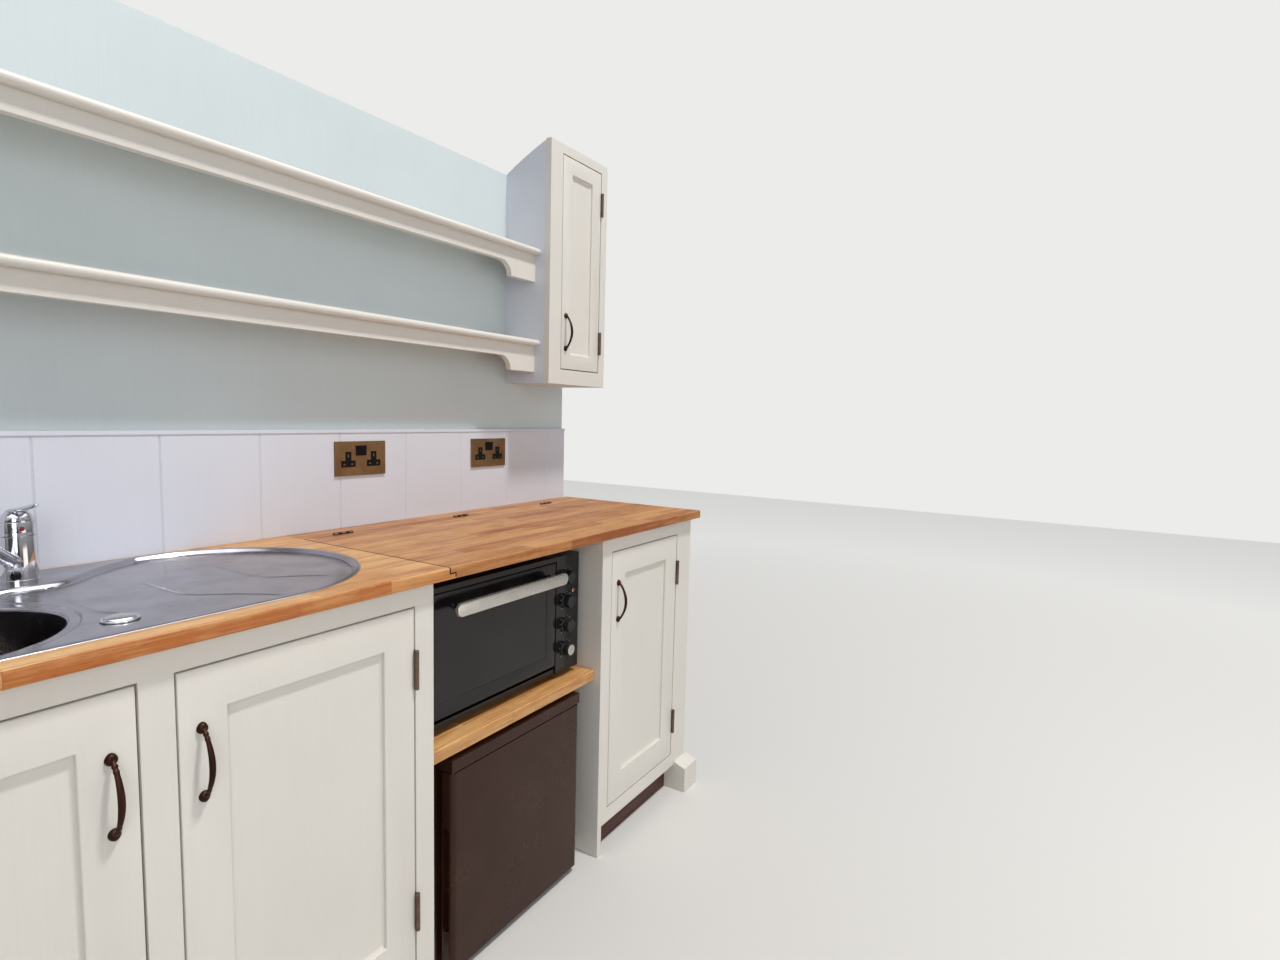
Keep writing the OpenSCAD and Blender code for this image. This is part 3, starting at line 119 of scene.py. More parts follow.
# %% Short hands for placing shader nodes
class Bench:
    """A node tree with short hands. What is fed in is a value or another node's socket."""

    def __init__(self, tree):
        self.tree = tree

    def feed(self, inputs, feeds):
        """Gives each named input its value, or links it to its socket."""
        for name, value in feeds.items():
            if isinstance(value, bpy.types.NodeSocket):
                self.tree.links.new(value, inputs[name])
            else:
                inputs[name].default_value = value

    def put(self, kind, feeds=None, **settings):
        """Adds one node, sets its options, feeds its inputs and returns its outputs."""
        node = self.tree.nodes.new("ShaderNode" + kind)
        for name, value in settings.items():
            setattr(node, name, value)
        self.feed(node.inputs, feeds or {})
        return node.outputs

    def use(self, effect, **feeds):
        """Places an effect that several finishes share, and returns its outputs."""
        return self.put("Group", feeds, node_tree=effect.tree)

    def reckon(self, operation, first, second=0.0, clamp=False):
        """One sum on two numbers."""
        return self.put("Math", {0: first, 1: second}, operation=operation, use_clamp=clamp)[0]

    def plus(self, first, second, clamp=False):
        """Two numbers added up, held between 0 and 1 where clamp is set."""
        return self.reckon("ADD", first, second, clamp)

    def times(self, first, second, clamp=False):
        """Two numbers multiplied, held between 0 and 1 where clamp is set."""
        return self.reckon("MULTIPLY", first, second, clamp)

    def between(self, share, first, second):
        """The colour that lies that share of the way from the first to the second."""
        return self.put("Mix", {0: share, 6: first, 7: second}, data_type="RGBA")[2]

    def remap(self, value, low, high, to_low=0.0, to_high=1.0):
        """Stretches the values from low to high onto another stretch, and holds the ends."""
        feeds = {0: value, 1: low, 2: high, 3: to_low, 4: to_high}
        return self.put("MapRange", feeds, clamp=True)[0]

    def here(self):
        """The place on the piece, in metres."""
        return self.put("TexCoord")["Object"]

    def stretch(self, place, *scale):
        """A place with its X, Y and Z each multiplied by a number of its own."""
        return self.put("Mapping", {"Vector": place, "Scale": scale})[0]

    def noise(self, place, scale, detail=2.0, **more):
        """Soft random numbers round 0.5, so many to a metre, with finer ones laid over them."""
        feeds = {"Vector": place, "Scale": scale, "Detail": detail, **more}
        return self.put("TexNoise", feeds)["Fac"]


finishes = {}


def finish(name, **constants):
    """A material with one Principled shader, listed under its name. Inputs that are the same all
    over take the given constants. Returns the bench of its nodes and the shader's inputs."""
    material = bpy.data.materials.new(name)
    material.use_nodes = True
    finishes[name] = material
    shader = material.node_tree.nodes["Principled BSDF"].inputs
    for label, value in constants.items():
        shader[label.replace("_", " ").title().replace("Ior", "IOR")].default_value = value
    return Bench(material.node_tree), shader


print("the bench is ready")

# %% The floor, the backdrop and the lights
FLOOR_REACH, FLOOR_DROP = 9.0, 0.0006
bench, shader = finish("studio floor", base_color=mix(214, 211, 206), roughness=0.8,
                       specular_ior_level=0.1, emission_color=mix(232, 231, 228))
far_off = bench.put("VectorMath", {0: bench.here()}, operation="LENGTH")["Value"]
haze = bench.times(bench.remap(far_off, 1.0, 5.5), bench.put("LightPath")["Is Camera Ray"])
bench.feed(shader, {"Emission Strength": bench.times(haze, 0.40)})

floor_mesh = bpy.data.meshes.new("studio_floor")
floor_mesh.from_pydata([(x * FLOOR_REACH, y * FLOOR_REACH, -FLOOR_DROP)
                        for x, y in ((-1, -1), (1, -1), (1, 1), (-1, 1))], [], [(0, 1, 2, 3)])
floor_mesh.materials.append(finishes["studio floor"])
studio_floor = bpy.data.objects.new("studio_floor", floor_mesh)
shown.link(studio_floor)

world = bpy.data.worlds.new("studio")
world.use_nodes = True
bpy.context.scene.world = world
world.node_tree.nodes.clear()
sky = Bench(world.node_tree)
rays = sky.put("LightPath")
seen = sky.reckon("MAXIMUM", rays["Is Camera Ray"], rays["Is Transmission Ray"])
fill_light = sky.put("Background", {"Color": (0.89, 0.94, 1.0, 1.0), "Strength": 0.42})[0]
backdrop = sky.put("Background", {"Color": mix(236, 236, 234), "Strength": 1.0})[0]
whither = sky.put("TexCoord")["Generated"]
height = sky.put("SeparateXYZ", {0: whither})[2]
patches = sky.remap(sky.noise(whither, 3.0, 1.0), 0.45, 0.52, 0.22, 1.0)
dim = sky.reckon("MAXIMUM", patches, sky.remap(height, 0.35, 0.5))
overhead = sky.remap(height, 0.5, 0.9, 0.0, 2.2)
tent_tone = sky.between(sky.remap(height, -0.05, 0.75), mix(112, 108, 106), mix(250, 252, 255))
tent = sky.put("Background", {"Color": tent_tone, "Strength": sky.plus(dim, overhead)})[0]
mirrored = sky.put("MixShader", {0: rays["Is Glossy Ray"], 1: fill_light, 2: tent})[0]
sky.put("OutputWorld", {"Surface": sky.put("MixShader", {0: seen, 1: mirrored, 2: backdrop})[0]})


def hang_lamp(name, place, aim, size, power, colour):
    """A square panel of light at a place, turned to face the aim."""
    lamp = bpy.data.lights.new(name, "AREA")
    lamp.size = size
    lamp.energy = power
    lamp.color = colour
    holder = bpy.data.objects.new(name, lamp)
    holder.location = place
    holder.rotation_euler = (Vector(place) - Vector(aim)).to_track_quat("Z", "Y").to_euler()
    shown.link(holder)


hang_lamp("key_light", (0.7, -2.75, 6.6), (0.0, -0.2, 0.9), 0.6, 285, (1.0, 0.99, 0.98))
hang_lamp("side_light", (-3.0, -3.4, 2.1), (0.0, 0.1, 1.2), 1.8, 46, (0.92, 0.95, 1.0))
hang_lamp("bounce_light", (0.9, -3.0, 0.35), (0.1, 0.1, 1.0), 1.8, 13, (1.0, 0.90, 0.80))
bpy.context.scene.view_settings.view_transform = "Standard"
print("studio ready")

# %% [markdown]
# Effects that several finishes share are node groups, built once: wear along edges, the film of
# brushed paint, the grain of timber, the layout of glued staves, and the fine scratches of
# metal. Each gives only masks and heights, and each finish mixes its own colours from them.

# %% How a shared effect is made
def shared_effect(name, inputs, outputs):
    """An empty node group with the named number or vector inputs and outputs. Returns its bench,
    what it is given and where its results go."""
    group = bpy.data.node_groups.new(name, "ShaderNodeTree")
    for label, start in inputs.items():
        kind = "NodeSocketVector" if start is None else "NodeSocketFloat"
        socket = group.interface.new_socket(label, in_out="INPUT", socket_type=kind)
        if start is not None:
            socket.default_value = start
    for label, kind in outputs.items():
        group.interface.new_socket(label, in_out="OUTPUT", socket_type="NodeSocket" + kind)
    given = group.nodes.new("NodeGroupInput").outputs
    return Bench(group), given, group.nodes.new("NodeGroupOutput").inputs


print("effects are groups of nodes")

# %% [markdown]
# Edges wear first. The bevel node looks at the surface a few millimetres round each point and
# returns a normal that rounds the edge over. Where that normal leans away from the true one,
# there is an edge, and paint or polish is thin there. The same rounded normal softens the
# highlight along every arris, which a knife-sharp solid can't have.

# %% Worn and softened edges
edges, given, result = shared_effect(
    "Soft edge", {"Radius": 0.002, "Wear": 0.5, "Patch": 40.0},
    {"Worn": "Float", "Rounded": "Vector"})
rounded = edges.put("Bevel", {"Radius": given["Radius"]}, samples=6)[0]
agree = edges.put("VectorMath", {0: rounded, 1: edges.put("NewGeometry")["Normal"]},
                  operation="DOT_PRODUCT")["Value"]
patchy = edges.remap(edges.noise(edges.here(), given["Patch"], 4.0), 0.45, 0.7)
worn = edges.times(edges.times(edges.remap(agree, 0.995, 0.8), patchy), given["Wear"], True)
edges.feed(result, {"Worn": worn, "Rounded": rounded})
print("soft edge:", len(edges.tree.nodes), "nodes")

# %% The film of brushed paint
film, given, result = shared_effect(
    "Brushed film", {"Stroke": 1.0, "Speckle": 1.0}, {"Shade": "Float", "Height": "Float"})
place = film.here()
strokes = film.noise(film.stretch(place, 260.0, 260.0, 9.0), 1.0, 3.0)
clouds = film.noise(place, 3.5, 3.0)
specks = film.noise(place, 420.0)
film.feed(result, {
    "Height": film.plus(film.times(strokes, given["Stroke"]), film.times(specks, given["Speckle"])),
    "Shade": film.plus(film.times(clouds, 0.7), film.times(strokes, 0.3))})
print("brushed film:", len(film.tree.nodes), "nodes")

# %% [markdown]
# Timber is a bundle of stretched fibres. A noise pulled out along the fibre gives the streaks,
# and a finer one cut off high gives the open pores. A sine of a slow, bent noise gives the
# growth lines. The place is handed in, so that each stave of a worktop can start somewhere else.

# %% The grain of timber
grain, given, result = shared_effect(
    "Timber grain", {"Place": None, "Fine": 1.0},
    {"Figure": "Float", "Streak": "Float", "Pore": "Float"})
bent = grain.noise(grain.stretch(given["Place"], 1.2, 16.0, 16.0), 1.0, Distortion=0.6)
rings = grain.reckon("SINE", grain.times(bent, 44.0))
fibre = grain.stretch(given["Place"], 9.0, 240.0, 240.0)
short = grain.stretch(given["Place"], 70.0, 900.0, 900.0)
grain.feed(result, {
    "Figure": grain.remap(rings, -1.0, 1.0),
    "Streak": grain.noise(fibre, given["Fine"], 4.0),
    "Pore": grain.remap(grain.noise(short, given["Fine"], 1.0), 0.62, 0.72)})
print("timber grain:", len(grain.tree.nodes), "nodes")

# %% [markdown]
# The worktop is glued up from staves about 40 mm wide and half a metre long, each from another
# board. The row number shifts the joints of each row by a random length, and a second random
# number per stave picks its tone and moves its grain. The thin glue lines are where a point
# lies within half a millimetre of its row's or its stave's edge.

# %% The layout of glued staves
staves, given, result = shared_effect(
    "Glued staves", {"Width": 0.04, "Length": 0.52},
    {"Tone": "Float", "Joint": "Float", "Place": "Vector"})
place = staves.here()
axis = staves.put("SeparateXYZ", {0: place})
across = staves.reckon("DIVIDE", staves.plus(axis[1], 0.0125), given["Width"])
row = staves.reckon("FLOOR", across)
slide = staves.put("TexWhiteNoise", {"W": row}, noise_dimensions="1D")["Value"]
along = staves.plus(staves.reckon("DIVIDE", axis[0], given["Length"]), staves.times(slide, 7.0))
stave = staves.put("CombineXYZ", {0: staves.reckon("FLOOR", along), 1: row})[0]
lottery = staves.put("TexWhiteNoise", {"Vector": stave}, noise_dimensions="3D")
apart = staves.put("VectorMath", {0: lottery["Color"], 1: (3.0, 3.0, 3.0)}, operation="MULTIPLY")[0]
to_side = staves.times(staves.reckon("PINGPONG", across, 0.5), given["Width"])
to_end = staves.times(staves.reckon("PINGPONG", along, 0.5), given["Length"])
nearest = staves.reckon("MINIMUM", to_side, to_end)
staves.feed(result, {"Tone": lottery["Value"],
                     "Place": staves.put("VectorMath", {0: place, 1: apart})[0],
                     "Joint": staves.remap(nearest, 0.0002, 0.0007, 1.0, 0.0)})
print("glued staves:", len(staves.tree.nodes), "nodes")

# %% Fine scratches and finger marks of metal
scratches, given, result = shared_effect(
    "Metal marks", {"Across": 900.0, "Along": 12.0, "Marks": 6.0},
    {"Scratch": "Float", "Smudge": "Float"})
place = scratches.here()
axis = scratches.put("SeparateXYZ", {0: place})
ways = enumerate(("Along", "Across", "Across"))
pulled = scratches.put("CombineXYZ", {number: scratches.times(axis[number], given[way])
                                      for number, way in ways})[0]
scratches.feed(result, {"Scratch": scratches.noise(pulled, 1.0, 3.0),
                        "Smudge": scratches.noise(place, given["Marks"], 5.0, Roughness=0.65)})
print("metal marks:", len(scratches.tree.nodes), "nodes")

# %% [markdown]
# A painted finish takes its colour, a darker one for the shade of the film and a third that shows
# where the edge is worn. Most finishes end the same way: their colour and roughness go to the
# shader, and a height becomes a bump on the rounded normal of the edges.

# %% Brushed paint
def dress(bench, shader, colour, roughness, height, depth, strength, normal):
    """Links a finish to its shader: colour, roughness and a bump so many metres deep."""
    feeds = {"Height": height, "Distance": depth, "Strength": strength, "Normal": normal}
    bench.feed(shader, {"Base Color": colour, "Roughness": roughness,
                        "Normal": bench.put("Bump", feeds)[0]})


def painted(name, colour, shade, worn_to, roughness=0.42, wear=0.35):
    """Brushed paint on wood: a cloudy colour, worn to another at the edges, with brush marks."""
    bench, shader = finish(name)
    edge = bench.use(edges, Radius=0.0018, Wear=wear, Patch=55.0)
    coat = bench.use(film, Stroke=1.0, Speckle=0.35)
    cloudy = bench.between(bench.remap(coat["Shade"], 0.3, 0.75), mix(*shade), mix(*colour))
    dress(bench, shader, bench.between(edge["Worn"], cloudy, mix(*worn_to)),
          bench.remap(coat["Shade"], 0.3, 0.7, roughness + 0.07, roughness - 0.05),
          coat["Height"], 0.00005, 1.0, edge["Rounded"])


painted("cabinet_paint", (216, 211, 203), (210, 205, 196), (184, 173, 157))
painted("board_paint", (210, 212, 220), (204, 206, 214), (186, 185, 188))
painted("wall_paint", (201, 210, 211), (194, 203, 204), (182, 188, 186), roughness=0.6, wear=0.1)
print("paints:", [name for name in finishes if name.endswith("paint")])

# %% [markdown]
# Oiled wood is warm and has depth: the grain darkens the colour, the pores are darker still and
# slightly sunk, and the joints between staves are hairlines. The oil gives a soft gloss that
# the grain breaks up. Sawn studs behind the lining are the same timber, dry and pale.

# %% Oiled staves, sawn softwood and the dark plinth
FRONT_BAND = 0.0022


def timber(name, pale, deep, pore_tone, roughness, front=None):
    """Wood whose fibres run along X: one board, or a worktop of glued staves where the Y of its
    front edge is given. On a worktop the front face is made deeper in tone."""
    bench, shader = finish(name, specular_ior_level=0.35)
    pale, deep, pore_tone = mix(*pale), mix(*deep), mix(*pore_tone)
    if front is None:
        place = bench.here()
        tone = bench.noise(place, 2.0)
    else:
        laid = bench.use(staves)
        place, tone = laid["Place"], laid["Tone"]
    fibres = bench.use(grain, Place=place, Fine=1.0)
    edge = bench.use(edges, Radius=0.0016, Wear=0.5, Patch=60.0)
    figure = bench.times(fibres["Figure"], 0.22)
    streak = bench.remap(fibres["Streak"], 0.3, 0.7, 0.0, 0.36)
    handled = bench.remap(bench.noise(place, 9.0, 4.0, Roughness=0.6), 0.45, 0.75, -0.05, 0.3)
    depth = bench.plus(bench.plus(figure, streak), bench.plus(bench.times(tone, 0.46), handled), True)
    if front is not None:
        # Within FRONT_BAND of the given front, the depth rises by up to 0.24, so the front face is
        # deeper in tone.
        y_here = bench.put("SeparateXYZ", {0: bench.here()})[1]
        edge_tone = bench.remap(y_here, front, front + FRONT_BAND, 0.24, 0.0)
        depth = bench.plus(depth, edge_tone, True)
    colour = bench.between(depth, pale, deep)
    colour = bench.between(bench.times(fibres["Pore"], 0.45), colour, pore_tone)
    if front is not None:
        colour = bench.between(bench.times(laid["Joint"], 0.55), colour, pore_tone)
    lighter = bench.between(0.5, pale, (1.0, 1.0, 1.0, 1.0))
    dress(bench, shader, bench.between(bench.times(edge["Worn"], 0.35), colour, lighter),
          bench.remap(fibres["Streak"], 0.3, 0.7, roughness - 0.06, roughness + 0.1),
          bench.reckon("SUBTRACT", fibres["Streak"], fibres["Pore"]), 0.00012, 0.7, edge["Rounded"])


front_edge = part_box("worktop_left")[0][1]
timber("worktop_wood", (230, 186, 124), (170, 96, 40), (96, 50, 20), 0.34, front_edge)
timber("flap_wood", (210, 156, 96), (142, 78, 34), (80, 42, 18), 0.36, front_edge)
timber("softwood", (226, 200, 152), (196, 156, 104), (150, 108, 66), 0.7)
timber("plinth_wood", (96, 56, 46), (58, 32, 28), (34, 18, 16), 0.5)
print("woods:", [name for name in finishes if name.endswith("wood")])

# %% [markdown]
# Metals differ in how clean and how smooth they are. Chrome is nearly a mirror with a few finger
# marks, pressed steel has the long scratches of its rolling, and bronze lacquer is dark in the
# hollows and rubbed bright on the edges that hands touch.

# %% The metals
def metal(name, colour, second, roughness, spread, across=900.0, along=12.0, depth=0.00002,
          wear=0.0, edge_tone=None, darker_below=None):
    """Metal whose roughness and tone follow its scratches and finger marks, worn bright at the edges.
    Below a given height the tone is darkened: painted shade, as deep inside a bowl."""
    bench, shader = finish(name, metallic=1.0)
    marks = bench.use(scratches, Across=across, Along=along, Marks=9.0)
    edge = bench.use(edges, Radius=0.0008, Wear=wear, Patch=90.0)
    tone = bench.between(bench.remap(marks["Smudge"], 0.3, 0.7), mix(*colour), mix(*second))
    if edge_tone is not None:
        tone = bench.between(edge["Worn"], tone, mix(*edge_tone))
    if darker_below is not None:
        # Painted shade: below the given height the tone darkens towards a dark grey, as deep in a
        # bowl.
        high = bench.put("SeparateXYZ", {0: bench.here()})[2]
        bowl_shade = bench.remap(high, darker_below, darker_below - 0.05, 0.0, 0.8)
        tone = bench.between(bowl_shade, tone, mix(92, 82, 78))
    rough = bench.plus(bench.remap(marks["Scratch"], 0.3, 0.7, roughness, roughness + spread),
                       bench.remap(marks["Smudge"], 0.45, 0.75, 0.0, spread))
    dress(bench, shader, tone, rough, marks["Scratch"], depth, 0.6, edge["Rounded"])


metal("tap_chrome", (222, 224, 228), (208, 210, 216), 0.05, 0.05, depth=0.000004)
# The steel below 0.890 m, inside the bowl, is darkened with painted shade.
metal("sink_steel", (176, 174, 179), (148, 146, 152), 0.13, 0.11, darker_below=0.890)
metal("waste_metal", (208, 209, 212), (190, 191, 195), 0.14, 0.1)
metal("bar_metal", (214, 211, 205), (190, 186, 179), 0.2, 0.1)
metal("bronze", (70, 46, 36), (44, 29, 25), 0.34, 0.14, 300.0, 300.0, 0.00005, 0.9, (150, 104, 70))
metal("hinge_bronze", (128, 110, 96), (86, 70, 60), 0.32, 0.16, 300.0, 300.0, 0.00004, 0.8,
      (196, 172, 146))
metal("socket_bronze", (164, 132, 96), (118, 88, 62), 0.34, 0.16, 900.0, 40.0, 0.00003, 0.8,
      (204, 176, 138))
print("metals:", [name for name in finishes if name.endswith(("chrome", "steel", "metal", "bronze"))])

# %% Enamel, plastic, iron, glass and small specks of colour
def hard_coat(name, colour, dusty, roughness, spread, peel=0.00001, wear=0.2, coat=0.0, gloss=0.3):
    """Enamel or plastic: even colour with dust, gloss broken by finger marks, a faint peel."""
    bench, shader = finish(name, coat_weight=coat, coat_roughness=0.06, specular_ior_level=gloss)
    marks = bench.use(scratches, Across=160.0, Along=160.0, Marks=7.0)
    edge = bench.use(edges, Radius=0.0015, Wear=wear, Patch=70.0)
    dust = bench.remap(marks["Smudge"], 0.4, 0.75, 0.0, 0.5)
    tone = bench.between(dust, mix(*colour), mix(*dusty))
    dress(bench, shader, bench.between(edge["Worn"], tone, mix(*dusty)),
          bench.remap(marks["Smudge"], 0.35, 0.75, roughness, roughness + spread),
          marks["Scratch"], peel, 0.5, edge["Rounded"])


def speckled(name, scale, low, high, colour, second, gloss=None, **constants):
    """The finish of something small: a fine noise between low and high mixes two colours, and two
    roughnesses where they are given."""
    bench, shader = finish(name, **constants)
    speck = bench.noise(bench.here(), scale)
    feeds = {"Base Color": bench.between(bench.remap(speck, low, high), mix(*colour), mix(*second))}
    if gloss is not None:
        feeds["Roughness"] = bench.remap(speck, low, high, *gloss)
    bench.feed(shader, feeds)


hard_coat("oven_black", (20, 17, 18), (38, 35, 36), 0.14, 0.16, coat=0.25, gloss=0.25)
# The fridge's black is mixed warm brown: a painted reflection of a warm wooden floor in its gloss.
hard_coat("fridge_black", (50, 26, 16), (64, 40, 28), 0.16, 0.16, coat=0.1, gloss=0.2)
hard_coat("knob_black", (24, 24, 25), (58, 57, 57), 0.22, 0.2)
hard_coat("socket_black", (12, 11, 11), (26, 24, 24), 0.4, 0.2, gloss=0.12)
hard_coat("hotplate_iron", (40, 39, 39), (74, 66, 60), 0.55, 0.25, 0.00012, 0.8)
speckled("hot_mark", 900.0, 0.4, 0.7, (146, 20, 34), (70, 14, 30), (0.1, 0.2), coat_weight=0.6)
speckled("lamp_red", 700.0, 0.35, 0.7, (196, 34, 30), (150, 16, 20), (0.08, 0.18), coat_weight=0.8)
speckled("dial_print", 500.0, 0.5, 0.75, (206, 206, 204), (120, 120, 120), roughness=0.5)
# A dark brown for the half-lap joint: painted shade of its narrow crevice.
speckled("joint_shade_line", 300.0, 0.35, 0.7, (36, 21, 13), (62, 36, 22), roughness=0.9,
         specular_ior_level=0.1)

bench, shader = finish("oven_glass", transmission_weight=0.5, ior=1.45)
smudge = bench.use(scratches, Across=30.0, Along=30.0, Marks=12.0)["Smudge"]
bench.feed(shader, {
    "Base Color": bench.between(bench.remap(smudge, 0.4, 0.7), mix(30, 26, 25), mix(42, 37, 35)),
    "Roughness": bench.remap(smudge, 0.5, 0.8, 0.02, 0.07)})
print("finishes in all:", len(finishes))

# %% [markdown]
# The record names the finish of every solid, so the first coat goes on in one pass: each node of
# the frame takes the material that carries the name of its slot, apart from three that are a
# shade of their own.

# %% The first coat on every solid
other_coat = {"worktop_flap": "flap_wood", "worktop_strip": "flap_wood",
              "fixed_hinges": "hinge_bronze"}
slots = {part["node"]: part["material_slot"] for part in frame["record"]["subparts"]}
for node, slot in slots.items():
    nodes[node].data.materials.clear()
    nodes[node].data.materials.append(finishes[other_coat.get(node, slot)])
print("coated", len(nodes), "solids")

# %% [markdown]
# Some pieces are soft where a solid is sharp: a pressed sink, a cast handle, a planed door. Each
# is built again as a surface worked out with numpy. A surface is a grid of points, one row after
# another, and four neighbours make a face, so that whole rows are reckoned at once. Doubles are
# merged, which closes seams and poles, and then all faces are turned outwards.

# %% From a grid of points to a closed skin
MM = 0.001
RIGHTWARDS, TO_ROOM, UP = np.array([[1, 0, 0], [0, -1, 0], [0, 0, 1]])


def lattice(points, loop=False):
    """Faces between neighbouring points of an (m, n, 3) grid whose last column meets the first.
    loop joins the last row to the first too. Without it, one face closes each of the two."""
    rows, columns = points.shape[:2]
    a, b = np.meshgrid(np.arange(rows if loop else rows - 1), np.arange(columns), indexing="ij")
    c, d = (a + 1) % rows, (b + 1) % columns
    corners = (a * columns + b, a * columns + d, c * columns + d, c * columns + b)
    faces = np.stack(corners, -1).reshape(-1, 4).tolist()
    if not loop:
        last = (rows - 1) * columns
        faces += [list(range(columns))[::-1], list(range(last, last + columns))]
    return points.reshape(-1, 3), faces


def closed(points, faces):
    """Merges doubles, drops faces without area, turns the faces outwards, and gives arrays back."""
    mesh = bpy.data.meshes.new("draft")
    mesh.from_pydata(points.tolist(), [], faces)
    shape = bmesh.new()
    shape.from_mesh(mesh)
    bmesh.ops.remove_doubles(shape, verts=shape.verts, dist=2e-6)
    bmesh.ops.recalc_face_normals(shape, faces=shape.faces)
    shape.verts.index_update()
    kept = np.array([v.co[:] for v in shape.verts])
    turned_out = [[v.index for v in face.verts] for face in shape.faces]
    shape.free()
    bpy.data.meshes.remove(mesh)
    return kept, turned_out


def build(name, parts, body, slot, stands_for=(), crease=35, coat=None):
    """Joins closed skins into one piece, smooth but for edges sharper than the crease's angle. Its
    finish is the slot's unless a coat is named."""
    points, faces, start = [], [], 0
    for part_points, part_faces in parts:
        points.append(part_points)
        faces += [[corner + start for corner in face] for face in part_faces]
        start += len(part_points)
    mesh = bpy.data.meshes.new(name)
    mesh.from_pydata(np.concatenate(points).tolist(), [], faces)
    mesh.shade_smooth()
    mesh.set_sharp_from_angle(angle=math.radians(crease))
    mesh.materials.append(finishes[coat or slot])
    piece = bpy.data.objects.new(name, mesh)
    shown.link(piece)
    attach(piece, body)
    if stands_for:
        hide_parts(*stands_for)
    print(name, "has", len(faces), "faces")


print("grids become closed skins, and skins become pieces")

# %% [markdown]
# Four ways of making a form cover most of the kitchen. A lathe turns a profile round an axis.
# A drawn bar carries an oval along a line. A soft block is a ball whose eight parts are pulled
# apart to the corners of a box, so that every edge is round. A nest of rectangles, each with its
# own depth, is a framed door: the rings step over the frame, down the recess and onto the panel.

# %% Lathe, drawn bar, soft block and nest
def lathe(profile, centre, axis=(0, 0, 1), steps=48, hollow=False):
    """A profile of (radius, height) pairs in millimetres turned round an axis: radius times cosine
    along one direction square to it, radius times sine along the other. Hollow closes a loop."""
    radius, height = np.asarray(profile, float).T * MM
    axis = np.asarray(axis, float)
    first = np.cross(axis, (0.0, 1.0, 0.0) if abs(axis[2]) > 0.9 else (0.0, 0.0, 1.0))
    first /= np.linalg.norm(first)
    angle = np.linspace(0, 2 * math.pi, steps, endpoint=False)
    ring = np.cos(angle)[:, None] * first + np.sin(angle)[:, None] * np.cross(axis, first)
    points = radius[:, None, None] * ring + height[:, None, None] * axis
    return closed(*lattice(points + np.asarray(centre, float), loop=hollow))


def drawn(line, wide, thick, side, steps=24):
    """An oval carried along a line. At each point its long axis is the given side direction and
    its short axis stands square to the side and to the line."""
    line = np.asarray(line, float)
    along = np.gradient(line, axis=0)
    along /= np.linalg.norm(along, axis=1)[:, None]
    side = np.broadcast_to(np.asarray(side, float), line.shape)
    other = np.cross(along, side)
    other /= np.linalg.norm(other, axis=1)[:, None]
    angle = np.linspace(0, 2 * math.pi, steps, endpoint=False)
    wide = np.broadcast_to(wide, len(line))[:, None, None]
    thick = np.broadcast_to(thick, len(line))[:, None, None]
    ring = (np.cos(angle)[None, :, None] * wide * side[:, None]
            + np.sin(angle)[None, :, None] * thick * other[:, None])
    return closed(*lattice(line[:, None] + ring))


def soft_block(low, high, radius, steps=3):
    """A ball cut into eight parts that move out to the corners of a box. Longitude picks the
    corner in X and Y, latitude the one in Z, and each point keeps its place on the ball."""
    low, high = np.asarray(low, float), np.asarray(high, float)
    quarter = np.linspace(0, math.pi / 2, steps + 1)
    longitude = np.concatenate([quarter + k * math.pi / 2 for k in range(4)])
    latitude = np.concatenate([quarter - math.pi / 2, quarter])
    x_side = np.repeat([1, -1, -1, 1], steps + 1)
    y_side = np.repeat([1, 1, -1, -1], steps + 1)
    z_side = np.repeat([-1, 1], steps + 1)
    middle, half = (low + high) / 2, (high - low) / 2 - radius
    flat = np.cos(latitude)[:, None] * radius
    x = flat * np.cos(longitude) + x_side * half[0]
    y = flat * np.sin(longitude) + y_side * half[1]
    z = np.broadcast_to((np.sin(latitude) * radius + z_side * half[2])[:, None], x.shape)
    return closed(*lattice(np.stack([x, y, z], -1) + middle))


def front_of(name):
    """The outline of a node's box as seen from the front: left, right, low and high."""
    low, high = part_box(name)
    return np.array([low[0], high[0], low[2], high[2]])


def rounding(radius, count):
    """Points of a quarter circle that takes an edge off, each by its distances from both faces.
    The first falls, radius times (1 - sine), and the second rises, radius times (1 - cosine)."""
    return [(radius * (1 - math.sin(a)), radius * (1 - math.cos(a)))
            for a in np.linspace(0, math.pi / 2, count)]


def nest(steps, hollow=False):
    """Rectangles, one inside or behind the other, joined edge to edge. A step is an outline, how
    far it is drawn in, and its depth. The first and the last are closed, or joined to each other
    where the form is hollow."""
    sides = [outline + np.array([1, -1, 1, -1]) * inset for outline, inset, depth in steps]
    left, right, low, high = np.array(sides).T
    x = np.stack([left, right, right, left], 1)
    z = np.stack([low, low, high, high], 1)
    y = np.repeat([[depth] for outline, inset, depth in steps], 4, axis=1)
    return closed(*lattice(np.stack([x, y, z], -1), loop=hollow))


print("four ways of making a form are ready")

# %% [markdown]
# The doors are frame and panel. The joiner took the sharp edge off the frame, outside and along
# the recess, and left a small sloped fillet where the panel meets the frame. In the nest of
# rectangles each of these is two to four rings close together.

